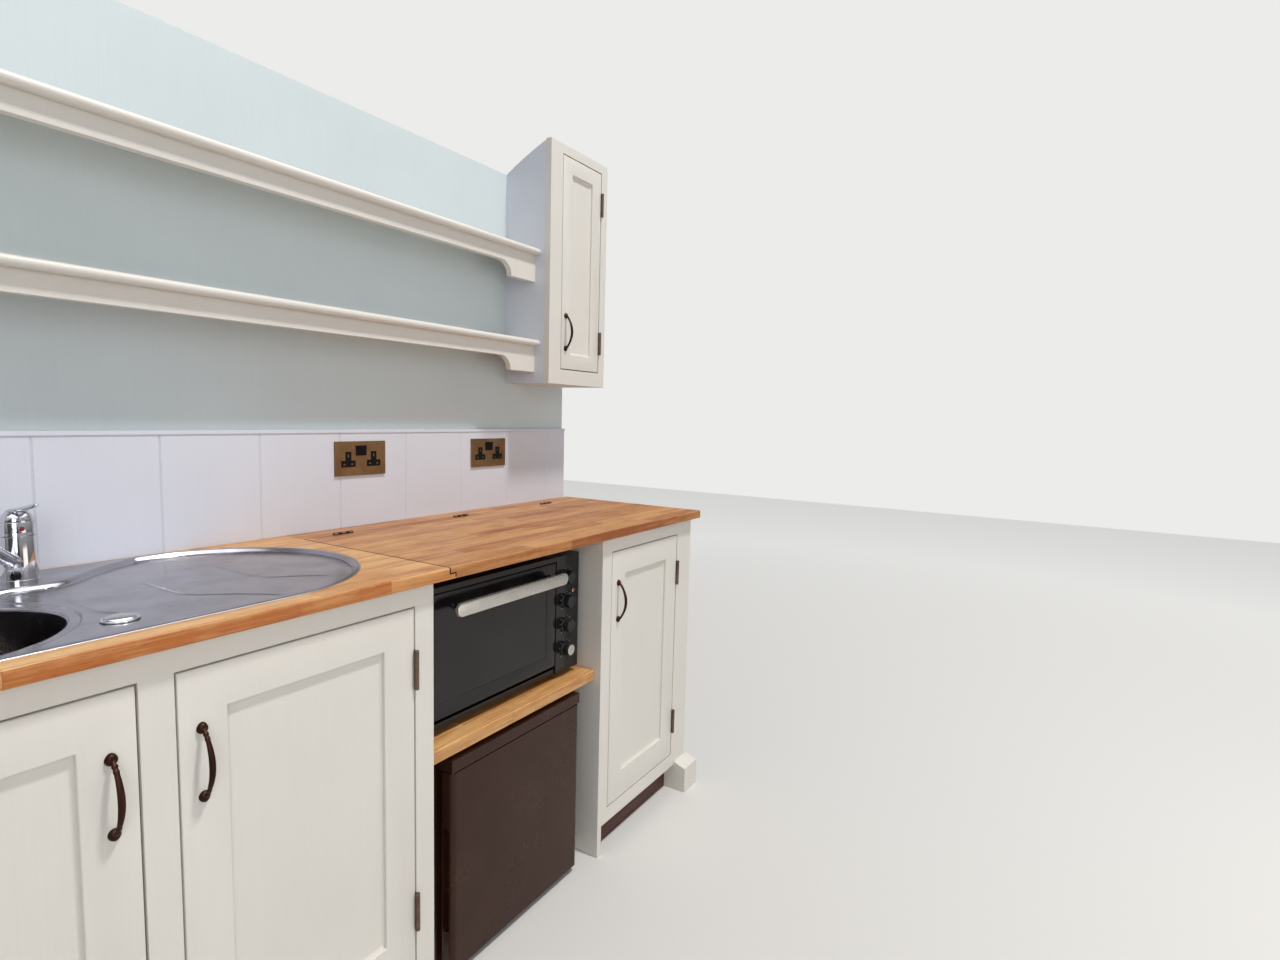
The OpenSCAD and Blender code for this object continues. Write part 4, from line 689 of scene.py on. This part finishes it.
# %% Framed doors
def framed_door(name, rail, foot, recess=9 * MM, panel=6 * MM, arris=1.6 * MM):
    """A frame and panel door in place of the solid of that name, with the outline of its box. The
    rings run from the back of the panel round the frame to the front of the panel."""
    front, back = (corner[1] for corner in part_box(name))
    outline = front_of(name)
    window = outline + np.array([rail, -rail, foot, -rail])
    edge = rounding(arris, 4)
    steps = [(window, 0, front + recess + panel), (window, 0, back - 0.6 * MM),
             (window, -0.6 * MM, back), (outline, 0.6 * MM, back), (outline, 0, back - 0.6 * MM)]
    steps += [(outline, rises, front + falls) for falls, rises in edge]
    steps += [(window, -falls, front + rises) for falls, rises in edge]
    steps += [(window, 0, front + recess - 2.6 * MM), (window, 4.8 * MM, front + recess - 0.3 * MM),
              (window, 5.2 * MM, front + recess)]
    build(name + "_joinery", [nest(steps)], name, "cabinet_paint", (name,))


for base_door in ("sink_door_left", "sink_door_right", "narrow_door"):
    framed_door(base_door, 66 * MM, 78 * MM)
framed_door("wall_cupboard_door", 47 * MM, 47 * MM)

# %% [markdown]
# The bow handles are cast bronze: a flattened bar that is thickest where the fingers hold it,
# a collar at each end, and a round foot, a little longer outwards. The bar is a drawn oval whose
# two half widths are functions of the way along it, with narrow bumps for the collars. Each foot
# is a dome with a dimple in it for the head of its screw.

# %% A bow handle
def bow_handle(place):
    """The bar's depth follows a parabola, 6 mm at the feet and 26 mm in the middle, and its
    widths follow a sine. The feet are domes over a circle that is drawn out a little outwards."""
    x, y, z = place
    way = np.linspace(0.0, 1.0, 61)
    swell = np.sin(math.pi * way)
    reach = 2 * way - 1
    line = np.stack([np.full_like(way, x), y - (6.0 + 20.0 * (1 - reach ** 2)) * MM,
                     z + 50.0 * MM * reach], -1)
    collar = sum(high * np.exp(-((way - middle) / 0.015) ** 2)
                 for middle, high in ((0.06, 1.0), (0.94, 1.0), (0.12, 0.6), (0.88, 0.6)))
    parts = [drawn(line, (2.5 + 1.9 * swell ** 1.3 + 1.4 * collar) * MM,
                   (2.3 + 1.3 * swell ** 1.3 + 1.2 * collar) * MM, RIGHTWARDS)]
    angle = np.linspace(0, 2 * math.pi, 32, endpoint=False)
    out = np.linspace(0, 1, 10)[:, None]
    for end in (-1, 1):
        pull = np.clip(np.sin(angle) * end, 0, 1) ** 2
        foot_x = x + 7.6 * MM * out * np.cos(angle) * (1 - 0.06 * pull)
        foot_z = z + end * 50.0 * MM + 8.0 * MM * out * np.sin(angle) * (1 + 0.14 * pull)
        dome = 6.6 * np.sqrt(np.clip(1 - out ** 2.4, 0, 1)) - 1.3 * np.exp(-(out / 0.16) ** 2)
        foot_y = y - 0.8 * MM - np.broadcast_to(dome * MM, foot_x.shape)
        under = np.stack([foot_x[-1], np.full_like(angle, y), foot_z[-1]], -1)
        parts.append(closed(*lattice(np.concatenate([np.stack([foot_x, foot_y, foot_z], -1),
                                                     under[None]]))))
    return parts


def hinge_half(pin, side, length=75.0):
    """The door's half of a butt hinge so many millimetres long: the second and fourth of five
    knuckles, turned with rounded ends, each with its lug, and a leaf let into the gap on the given
    side of the pin."""
    x, y, z = pin
    near, far = sorted((x + side * 0.3 * MM, x + side * 1.5 * MM))
    foot, tall = z - length / 2 * MM, length / 5 - 0.3
    parts = [soft_block((near, y + 4.9 * MM, foot), (far, y + 21 * MM, foot + length * MM),
                        0.15 * MM, 1)]
    for number in (1, 3):
        low = foot + (number * length / 5 + 0.15) * MM
        profile = [(0, 0), (4.1, 0), (4.5, 0.4), (4.5, tall - 0.4), (4.1, tall), (0, tall)]
        parts.append(lathe(profile, (x, y, low), steps=32))
        parts.append(soft_block((near, y, low), (far, y + 6 * MM, low + tall * MM), 0.15 * MM, 1))
    return parts


def fit_out(door, free_side, inset, handle_height, hinge_heights):
    """Handle and hinges of one door, placed from the door's own box. free_side is 1 where the
    free edge is on the right and -1 where it is on the left; the hinges are on the other side."""
    low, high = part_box(door)
    free_edge, hung_edge = (high[0], low[0]) if free_side > 0 else (low[0], high[0])
    build(door + "_handle", bow_handle((free_edge - free_side * inset, low[1], handle_height)), door,
          "bronze", (door + "_fittings",))
    halves = []
    for height in hinge_heights:
        halves += hinge_half((hung_edge - free_side * 1.5 * MM, low[1] - 5 * MM, height), free_side)
    build(door + "_hinges", halves, door, "bronze", coat="hinge_bronze")


# How far in the handle sits, how high, and how high the two hinges are, in metres.
BASE_FITTINGS = (0.030, 0.6985, (0.236, 0.718))
WALL_FITTINGS = (0.020, 1.457, (1.438, 1.888))
for base_door, free_side in (("sink_door_left", 1), ("sink_door_right", -1), ("narrow_door", -1)):
    fit_out(base_door, free_side, *BASE_FITTINGS)
fit_out("wall_cupboard_door", -1, *WALL_FITTINGS)

# %% [markdown]
# The sink is one pressed sheet of steel: a bowl, a step round its mouth, a tray that drains into
# it, a raised ledge for the tap and a rim that laps over the worktop. All of it is one height
# above each point of the plan, apart from the bowl's steep wall. So the rings of the grid start
# at the waste hole, climb the wall, then widen from circles to the long oval of the rim.

# %% Plan and heights of the sink
sink_low, sink_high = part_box("sink")
SINK_MIDDLE = (sink_low[1] + sink_high[1]) / 2
SINK_HALF = (sink_high[1] - sink_low[1]) / 2
RIM_TOP = sink_high[2]
TRAY = RIM_TOP - 8 * MM
BOWL_STEP, RIM_DOME = 2.2 * MM, 6.4 * MM
BOWL = np.array([sink_low[0] + 226 * MM, sink_low[1] + 205 * MM])
TAP = np.array([sink_low[0] + 404 * MM, sink_high[1] - 78 * MM])
LEDGE_X = TAP[0] + np.array([-260, -230, -120, -60, 0, 38, 60, 110, 190, 260]) * MM
LEDGE_Y = TAP[1] + np.array([-10, -10, -30, -47, -52, -56, -38, 10, 60, 100]) * MM


def long_oval(inset, count=400):
    """Points at even steps along two half circles joined by straight sides, drawn in by inset."""
    radius = SINK_HALF - inset
    left, right = sink_low[0] + SINK_HALF, sink_high[0] - SINK_HALF
    straight, half_turn = right - left, math.pi * SINK_HALF
    way = np.linspace(0, 2 * (straight + half_turn), count, endpoint=False)
    bend_right = np.clip(way / SINK_HALF, 0, math.pi) - math.pi / 2
    bend_left = np.clip((way - half_turn - straight) / SINK_HALF, 0, math.pi) + math.pi / 2
    top_run = np.clip(way - half_turn, 0, straight)
    low_run = np.clip(way - 2 * half_turn - straight, 0, straight)
    on_right = way < half_turn + straight
    x = np.where(on_right, right - top_run + radius * np.cos(bend_right),
                 left + low_run + radius * np.cos(bend_left))
    y = SINK_MIDDLE + radius * np.where(on_right, np.sin(bend_right), np.sin(bend_left))
    return np.stack([x, y], -1)


def ease(value):
    """A smooth step from 0 to 1: three times the square less twice the cube."""
    held = np.clip(value, 0, 1)
    return held * held * (3 - 2 * held)


def tray_height(plan, inset=1.0):
    """The tray's level, less the step round the bowl, raised to the rim near the outline and to
    the ledge behind its curved front edge."""
    x, y = plan[:, 0], plan[:, 1]
    from_bowl = np.hypot(x - BOWL[0], y - BOWL[1])
    height = TRAY - BOWL_STEP * ease((175 * MM - from_bowl) / (5 * MM))
    rim = ease((17 * MM - inset) / (8 * MM))
    front = np.mean([np.interp(x + s, LEDGE_X, LEDGE_Y) for s in np.linspace(-22, 22, 9) * MM], 0)
    ledge = ease((y - front) / (11 * MM))
    return height + (RIM_TOP - height) * np.maximum(rim, ledge)


print("sink", round(2 * SINK_HALF, 3), "m deep, tray at", round(TRAY, 4))

# %% The rings of the pressed sheet
outline = long_oval(0.0)
bearing = np.arctan2(outline[:, 1] - BOWL[1], outline[:, 0] - BOWL[0])
spoke = np.stack([np.cos(bearing), np.sin(bearing)], -1)
bowl_radius, bowl_depth, bowl_corner, lip, waste_hole = np.array([155.5, 148, 43, 5, 44]) * MM
bowl_floor = TRAY - bowl_depth
wall = [(radius, bowl_floor) for radius
        in np.linspace(waste_hole, bowl_radius - bowl_corner - 4 * MM, 4)]
wall += [(bowl_radius - falls, bowl_floor + rises) for falls, rises in rounding(bowl_corner, 9)]
wall += [(bowl_radius, h) for h in np.linspace(bowl_floor + 55 * MM, TRAY - 9 * MM, 5)]
wall += [(bowl_radius + rises, TRAY - BOWL_STEP - falls) for falls, rises in rounding(lip, 6)[1:]]
rings = [np.column_stack([BOWL + radius * spoke, np.full(len(spoke), height)])
         for radius, height in wall]
plans = [BOWL + radius * spoke for radius in np.linspace(163.5 * MM, 180 * MM, 14)]
inner, outer = plans[-1], long_oval(19 * MM)
plans += [inner + (outer - inner) * share for share in np.linspace(0, 1, 100)[1:]]
rings += [np.column_stack([plan, tray_height(plan)]) for plan in plans]
rings += [np.column_stack([long_oval(inset), tray_height(long_oval(inset), inset)])
          for inset in np.linspace(18 * MM, RIM_DOME, 18)]
rings += [np.column_stack([long_oval(RIM_DOME * falls),
                           np.full(len(spoke), RIM_TOP - 1.7 * MM * rises)])
          for falls, rises in rounding(1.0, 9)[1:]]
sheet = np.stack(rings)
sheet[..., 2] -= 0.05 * MM
print("rings and points:", sheet.shape[:2])

# %% [markdown]
# The underside is the same surface a sheet's thickness lower, with every eighth ring of the tray.
# On the bowl's wall lower isn't enough, so there it also moves outwards. Three pressed ribs lie
# on the tray: low ridges, bell shaped across, along lines that bend to the right at the front.

# %% Underside, ribs and the finished sink
RIM_RINGS = 10
tray_end = len(sheet) - RIM_RINGS
keep = np.r_[0:len(wall), len(wall):tray_end:8, tray_end:len(sheet)]
under = sheet[keep]
under[..., 2] -= 1.6 * MM
lean_out = np.clip((keep - 3) / 6, 0, 1) * (keep < len(wall))
under[..., :2] += spoke * (1.4 * MM * lean_out)[:, None, None]
under[-RIM_RINGS:, :, 2] = np.maximum(under[-RIM_RINGS:, :, 2], RIM_TOP - 1.9 * MM)
skins = [closed(*lattice(np.concatenate([sheet, under[::-1]]), loop=True))]


def pressed_rib(knots, half=7.0, high=1.3, steps=90):
    """A ridge along a line through the knots, smoothed by a running mean: its height is a bell
    over the width and sinks to nothing at both ends."""
    knots = np.asarray(knots, float)
    way = np.r_[0, np.cumsum(np.hypot(*np.diff(knots, axis=0).T))]
    even = np.linspace(0, way[-1], steps)
    line = np.mean([np.stack([np.interp(np.clip(even + s, 0, way[-1]), way, knots[:, k])
                              for k in (0, 1)], -1) for s in np.linspace(-16, 16, 9)], 0)
    along = np.gradient(line, axis=0)
    along /= np.linalg.norm(along, axis=1)[:, None]
    sideways = np.stack([along[:, 1], -along[:, 0]], -1)
    across = np.linspace(-half, half, 17)
    end = ease(even / 22) * ease((way[-1] - even) / 22)
    top = high * end[:, None] * np.exp(-(across / 3.3) ** 2) - 0.07
    plan = line[:, None] + sideways[:, None] * np.r_[across, half, -half][None, :, None]
    height = np.concatenate([top, np.full((steps, 2), -1.0)], 1)
    return closed(*lattice(np.concatenate([plan * MM, (TRAY + height * MM)[..., None]], -1)))


for knots in (((-529, 24), (-529, -100), (-521, -118), (-506, -137)),
              ((-415, 52), (-415, -82), (-397, -115), (-366, -145), (-338, -182), (-316, -222)),
              ((-277, 86), (-277, -43), (-271, -81), (-254, -98), (-228, -118), (-190, -160))):
    skins.append(pressed_rib(knots))
build("sink_pressing", skins, "kitchen_wall", "sink_steel",
      ("sink", "sink_bowl", "bowl_flange", "drainer_ribs"), crease=50)

# %% [markdown]
# The mixer tap is the one polished piece, so every curve of it shows. Its column is a slightly
# conical tube, turned on a lathe with a bore, since it swings on a post. Its spout is a tube drawn
# along a rising line and a bend, thicker for a moment where it leaves the column, as a weld is.
# The outlet at its end is turned on a lathe whose axis lies along the tube's last direction.

# %% The column and the spout
def level_way(degrees):
    """The level direction of length 1 at an angle from X: cosine along X, sine along Y."""
    return np.array([math.cos(math.radians(degrees)), math.sin(math.radians(degrees)), 0.0])


cap_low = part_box("tap_cap")[0][2]
column_low = cap_low - 71.3 * MM
column = [(10.3, 0.0), (24.0, 0.0), (24.4, 0.3), (24.4, 1.2), (22.6, 69.6), (22.3, 70.6),
          (21.6, 71.0), (10.3, 71.0)]
tap_parts = [lathe(column, (*TAP, column_low), hollow=True, steps=96)]

RISE, TIP, BEND, TUBE = math.radians(28), math.radians(12), 18.0, 10.5
run = 195 - BEND * (math.sin(RISE) + math.cos(TIP)) / math.cos(RISE)
straight = np.linspace(15, run, 40)
bend = np.linspace(math.pi / 2 + RISE, TIP, 24)
bend_u = run * math.cos(RISE) + BEND * math.sin(RISE)
bend_v = run * math.sin(RISE) - BEND * math.cos(RISE)
flat_u = np.r_[straight * math.cos(RISE), bend_u + BEND * np.cos(bend[1:])]
flat_v = np.r_[straight * math.sin(RISE), bend_v + BEND * np.sin(bend[1:])]
heading = level_way(-130)
spout_root = np.array([*TAP, column_low + 19.7 * MM])
spout_line = spout_root + (flat_u[:, None] * heading + flat_v[:, None] * UP) * MM
weld = 2.4 * np.exp(-((np.r_[straight, np.full(len(bend) - 1, run)] - 24) / 4.5) ** 2)
tap_parts.append(drawn(spout_line, (TUBE + weld) * MM, (TUBE + weld) * MM,
                       np.cross(heading, UP), steps=48))
downwards = math.sin(TIP) * heading - math.cos(TIP) * UP
outlet = [(0, -1), (9.6, -1), (TUBE, 0), (TUBE + 0.9, 1.2), (TUBE + 1, 2), (TUBE + 1, 19),
          (TUBE + 0.4, 19.5), (TUBE + 0.4, 20.3), (TUBE + 1, 20.8), (TUBE + 1, 25),
          (TUBE + 0.4, 25.8), (TUBE - 0.6, 26), (TUBE - 1.6, 25.4), (TUBE - 1.8, 21), (0, 20.4)]
tap_parts.append(lathe(outlet, spout_line[-1], downwards))
build("tap_column_and_spout", tap_parts, "tap_spout", "tap_chrome", ("tap_spout",), crease=30)

# %% [markdown]
# The cap is a short tube whose inside is a cup for the ball. The lever grows out of the ball: a
# blade that is broad and flat over the dome and narrows to a small round tip, a little dished
# along its length, so that the thumb finds it. The blade is a drawn oval whose two half widths
# shrink to nothing at both ends like the edge of an ellipse. A red bead on the cap marks hot.

# %% The cap, the lever and its bead
ball_high = 23.0
cup = np.linspace(-0.02, -1.15, 12)
cap_shape = [(7.3, 0.0), (23.4, 0.0), (23.9, 0.4), (23.9, 1.0), (22.8, 4.6), (22.5, 6.4),
             (22.5, 22.2), (22.2, 22.9)]
cap_shape += [(21.8 * math.cos(a), ball_high + 21.8 * math.sin(a)) for a in cup]
cap_shape += [(7.3, ball_high - 20.2)]
build("tap_cap_shell", [lathe(cap_shape, (*TAP, cap_low), hollow=True, steps=96)],
      "tap_cap", "tap_chrome", ("tap_cap",), crease=30)

ball_middle = np.array([*TAP, cap_low + ball_high * MM])
arc = np.linspace(-0.46, math.pi / 2, 26)
ball = np.column_stack([21.5 * np.cos(arc), 21.5 * np.sin(arc)])
lever_parts = [lathe(np.r_[[[0, ball[0, 1]]], ball], ball_middle, steps=96)]
slope = math.radians(10)
forward = np.array([0, -math.cos(slope), math.sin(slope)])
upright = np.array([0, math.sin(slope), math.cos(slope)])
way = np.linspace(-1, 1, 61)
length_along = 39.5 + 52.5 * way
lift = 17.0 + 2.2 * (length_along / 92) ** 2
ends = np.sqrt(np.clip(1 - np.abs(way) ** 5, 0, 1))
blade_line = ball_middle + (length_along[:, None] * forward + lift[:, None] * upright) * MM
half_wide = (5.8 + 10.4 * ease((60 - length_along) / 66)) * ends
half_thick = (3.7 + 1.4 * ease((36 - length_along) / 44)) * ends
lever_parts.append(drawn(blade_line, half_wide * MM, half_thick * MM, RIGHTWARDS, steps=32))
build("tap_lever_and_ball", lever_parts, "tap_lever", "tap_chrome", ("tap_lever",), crease=45)

towards = level_way(-93)
bead = [(0, -1), (3.9, -1), (3.9, 0.3), (3.3, 0.9), (1.9, 1.3), (0, 1.4)]
bead_place = ball_middle + (22.3 * towards - 10.5 * UP) * MM
build("hot_bead", [lathe(bead, bead_place, towards, steps=24)], "tap_cap", "hot_mark")

# %% [markdown]
# The stopper waits on the tray: a thin flange with a rolled edge, a groove for its washer, and
# a shallow dome. Everything about it is a profile, so the lathe makes it in one go.

# %% The stopper
stopper_low, stopper_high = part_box("sink_stopper")
stopper_middle = [*(np.array(stopper_low) + np.array(stopper_high))[:2] / 2, stopper_low[2]]
stopper = [(0, 0), (22.4, 0), (23.6, 0.5), (24, 1.5), (23.5, 2.6), (22.2, 3), (20.9, 2.7),
           (20.3, 2.5), (19.6, 2.9), (18.6, 3.6)]
stopper += [(18.6 * math.cos(a), 3.6 + 3.3 * math.sin(a))
            for a in np.linspace(0.15, math.pi / 2, 10)]
build("waste_stopper", [lathe(stopper, stopper_middle, steps=64)], "kitchen_wall",
      "waste_metal", ("sink_stopper",), crease=40)

# %% [markdown]
# The oven's front is glossy enamel round a dark window. The door is a nest of rectangles again,
# this time with a hole right through for its pane and a small step that the pane sits in. Its bar
# is a flat strip of brushed metal with round ends on two posts. A strip with round ends is a
# rectangle whose corners have a radius of half its height, and a stack of such outlines, each
# drawn in a little and set at its own depth, rounds its front edge over.

# %% Outlines with round corners, stacked
def rounded_stack(outline, corner, steps, turns=12):
    """Outlines of a rectangle with round corners, one for each (inset, depth) of the steps. A
    corner is a quarter circle about a point that lies one corner radius inside both sides."""
    left, right, low, high = outline
    quarter = np.linspace(0, math.pi / 2, turns + 1)
    angle = np.concatenate([quarter + k * math.pi / 2 for k in range(4)])
    x_side = np.repeat([1, -1, -1, 1], turns + 1)
    z_side = np.repeat([1, 1, -1, -1], turns + 1)
    rings = []
    for inset, depth in steps:
        radius = max(corner - inset, 0.02 * MM)
        half_x, half_z = (right - left) / 2 - inset - radius, (high - low) / 2 - inset - radius
        x = (left + right) / 2 + x_side * half_x + radius * np.cos(angle)
        z = (low + high) / 2 + z_side * half_z + radius * np.sin(angle)
        rings.append(np.stack([x, np.full_like(x, depth), z], -1))
    return closed(*lattice(np.stack(rings)))


print("round corners are ready")

# %% The oven's door and its bar
outline, window = front_of("oven_door"), front_of("oven_door_glass")
front, back = (corner[1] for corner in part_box("oven_door"))
pane_front, pane_back = (corner[1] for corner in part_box("oven_door_glass"))
steps = [(outline, 0.8 * MM, back), (outline, 0, back - 0.8 * MM)]
steps += [(outline, rises, front + falls) for falls, rises in rounding(3 * MM, 6)]
steps += [(window, -2.2 * MM, front), (window, -1.6 * MM, front + 0.25 * MM),
          (window, -0.2 * MM, front + 1.7 * MM), (window, 0, pane_front), (window, 0, pane_back),
          (window, -0.4 * MM, back)]
build("oven_door_frame", [nest(steps, hollow=True)], "oven_door", "oven_black", ("oven_door",),
      crease=40)

bar, bar_front = front_of("oven_handle"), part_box("oven_handle")[0][1]
depths = [(falls, bar_front + 8 * MM - rises) for falls, rises in rounding(1.2 * MM, 5)[::-1]]
depths += [(rises, bar_front + falls) for falls, rises in rounding(2.2 * MM, 5)]
build("oven_bar", [rounded_stack(bar, (bar[3] - bar[2]) / 2, depths)], "oven_door", "bar_metal",
      ("oven_handle",), crease=40)
post = [(0, 0), (9, 0), (9, 1.2), (7.6, 2.6), (6.2, 6), (6, 12), (6, 34), (0, 34)]
posts = [lathe(post, (end, front, (bar[2] + bar[3]) / 2), TO_ROOM)
         for end in (bar[0] + 29 * MM, bar[1] - 29 * MM)]
build("oven_bar_posts", posts, "oven_door", "knob_black", crease=40)

# %% [markdown]
# Each knob has a thin skirt and a grip with shallow flutes, whose face carries a raised pointer.
# Flutes are bumps of a cosine taken off the radius: twelve dips that fade out towards the face.
# The lowest knob has a bright cap on its face. Beside them sits the red lamp, and the ticks round
# each knob are printed: slivers of paint a tenth of a millimetre thick.

# %% Knobs
def fluted(rings, centre, flutes=12, steps=144):
    """Rings (radius, how far out, depth of flute) round the Y axis. The radius at an angle is the
    ring's radius less the flute's depth times a bump of the cosine raised to a power."""
    radius, out, dip = np.asarray(rings, float).T
    angle = np.linspace(0, 2 * math.pi, steps, endpoint=False)
    bump = (0.5 + 0.5 * np.cos(flutes * angle)) ** 3
    wide = radius[:, None] - dip[:, None] * bump
    u, v = wide * np.cos(angle), wide * np.sin(angle)
    depth = np.broadcast_to(-out[:, None], u.shape)
    return closed(*lattice(np.stack([u, depth, v], -1) * MM + np.asarray(centre)))


panel_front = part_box("oven_body")[0][1]
grip = [(0, 0, 0), (19.6, 0, 0), (20, 0.4, 0), (20, 3, 0), (19.2, 4.2, 0), (17.4, 4.8, 0),
        (17.1, 5.4, 0.9), (16.9, 8, 1.2), (16.4, 18, 1.2), (16, 20.4, 0.9), (15.2, 21.4, 0.4),
        (13.8, 21.9, 0), (11.5, 21.5, 0), (0, 21.3, 0)]
spindle = [(0, 0), (3.3, 0), (3.3, -10), (0, -10)]
for number in (1, 2, 3, 4):
    name = f"oven_knob_{number}"
    low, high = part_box(name)
    middle = np.array([(low[0] + high[0]) / 2, low[1] + 22 * MM, (low[2] + high[2]) / 2])
    knob_parts = [fluted(grip, middle), lathe(spindle, middle, TO_ROOM, steps=24)]
    if number < 4:
        pointer = middle + np.array([0, -21.4 * MM, 9 * MM])
        knob_parts.append(soft_block(pointer - np.array([0.9, 0.5, 6]) * MM,
                                     pointer + np.array([0.9, 0.4, 6]) * MM, 0.4 * MM))
    build(name + "_grip", knob_parts, name, "knob_black", (name,), crease=30)
face = [(0, 21.2), (13.2, 21.2), (13.6, 21.6), (13.2, 21.95), (12, 22), (0, 22)]
build("oven_knob_4_face", [lathe(face, middle, TO_ROOM, steps=64)], "oven_knob_4", "bar_metal",
      crease=30)

# %% The lamp and the printed ticks
KNOB_PITCH, KNOB_HALF = 63 * MM, 20 * MM
knob_lows = [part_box(f"oven_knob_{number}")[0] for number in (1, 2, 3, 4)]
knob_axis = [(low[0] + KNOB_HALF, low[2] + KNOB_HALF) for low in knob_lows]
lamp_place = (knob_axis[0][0] + 29.5 * MM, panel_front, knob_axis[3][1] + 2.35 * KNOB_PITCH)
bezel = [(0, 0), (5.2, 0), (5.2, 0.6), (4.9, 1.0), (4.1, 1.1), (3.9, 0.9), (0, 0.9)]
lens = [(0, 0.8), (3.8, 0.8), (3.8, 1.6), (3.2, 2.3), (2.2, 2.7), (0, 3.0)]
build("lamp_bezel", [lathe(bezel, lamp_place, TO_ROOM, steps=32)], "kitchen_wall", "bar_metal",
      crease=30)
build("lamp_lens", [lathe(lens, lamp_place, TO_ROOM, steps=32)], "kitchen_wall", "lamp_red")

ticks = []
for across, rise in knob_axis:
    for number, angle in enumerate(np.radians(np.linspace(225, -45, 10))):
        outer = 26.0 if number % 3 == 0 else 24.6
        along = np.array([math.cos(angle), 0, math.sin(angle)])
        aside = np.array([-math.sin(angle), 0, math.cos(angle)])
        corners = [reach * along + half * aside for reach, half
                   in ((22.3, -0.35), (22.3, 0.35), (outer, 0.35), (outer, -0.35))]
        sliver = np.stack([np.array(corners) + [0, depth, 0] for depth in (0.02, -0.12)])
        ticks.append(closed(*lattice(sliver * MM + np.array([across, panel_front, rise]))))
build("dial_ticks", ticks, "kitchen_wall", "dial_print")

# %% [markdown]
# Small screws hold the sockets. A screw's head is a flat dome with a cross pressed into it. On a
# grid of rings round the axis, the height is the dome less the depth of the cross wherever a
# point lies within half a slot's width of either line of the cross.

# %% Screw heads
def screw_head(place, turned_by, radius=3.4, dome=0.7, sunk=0.9, seat=0.3):
    """A dome that faces the room, whose height falls with the square of the radius, less the
    cross. turned_by is the angle at which the driver stopped, seat how deep the head goes in."""
    aside = np.cross(TO_ROOM, UP)
    third = np.cross(TO_ROOM, aside)
    out = np.r_[np.linspace(0, 1, 12)[1:], 1.0]
    angle = np.linspace(0, 2 * math.pi, 48, endpoint=False)
    u, v = out[:, None] * np.cos(angle), out[:, None] * np.sin(angle)
    spun_u = u * math.cos(turned_by) + v * math.sin(turned_by)
    spun_v = v * math.cos(turned_by) - u * math.sin(turned_by)
    slot = np.minimum(np.abs(spun_u), np.abs(spun_v)) < 0.15
    high = dome * (1 - out[:, None] ** 2) - sunk * slot * (out[:, None] < 0.66)
    high[-1] = -seat
    points = (np.asarray(place) + (radius * u[..., None] * aside + radius * v[..., None] * third
                                   + high[..., None] * TO_ROOM) * MM)
    return closed(*lattice(points))


socket_low, socket_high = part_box("sockets")
SOCKET_WIDTH, SCREW_PLACES = 146 * MM, (12.7, 133.3)
screws, rise = [], (socket_low[2] + socket_high[2]) / 2
for left_edge in (socket_low[0], socket_high[0] - SOCKET_WIDTH):
    for across in SCREW_PLACES:
        screws.append(screw_head((left_edge + across * MM, socket_low[1], rise), across / 9))
build("socket_screws", screws, "kitchen_wall", "socket_bronze")

# %% [markdown]
# The lift-up part of the worktop meets the fixed part in a half-lap: the joint runs down half
# the thickness, steps sideways and runs down the rest. Its narrow crevice lies in shade, which is
# painted as a dark line. The line is a narrow flattened bead carried along the joint, over the
# rounded front edge.

# %% The dark line of painted shade in the half-lap joint
flap_low, flap_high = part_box("worktop_flap")
joint_x, front_y, back_y = flap_low[0], flap_low[1], flap_high[1]
top_z, low_z = flap_high[2], flap_low[2]
over, lap = 3 * MM, top_z - 12 * MM
down_the_front = [(joint_x, back_y, top_z)]
down_the_front += [(joint_x, front_y + falls, top_z - rises) for falls, rises in rounding(over, 7)]
down_the_front += [(joint_x, front_y, lap - 0.2 * MM)]
sideways = [(joint_x - 0.6 * MM, front_y, lap), (joint_x + 16 * MM, front_y, lap)]
lower = [(joint_x + 15 * MM, front_y, height) for height in (lap + 0.4 * MM, low_z + over)]
beads = ((down_the_front, 1.6, 0.25, RIGHTWARDS), (sideways, 1.3, 0.3, UP),
         (lower, 1.3, 0.3, RIGHTWARDS))
joint_shade_beads = [drawn(line, wide * MM, thick * MM, side, steps=8)
               for line, wide, thick, side in beads]
build("half_lap_shade_line", joint_shade_beads, "kitchen_wall", "joint_shade_line")
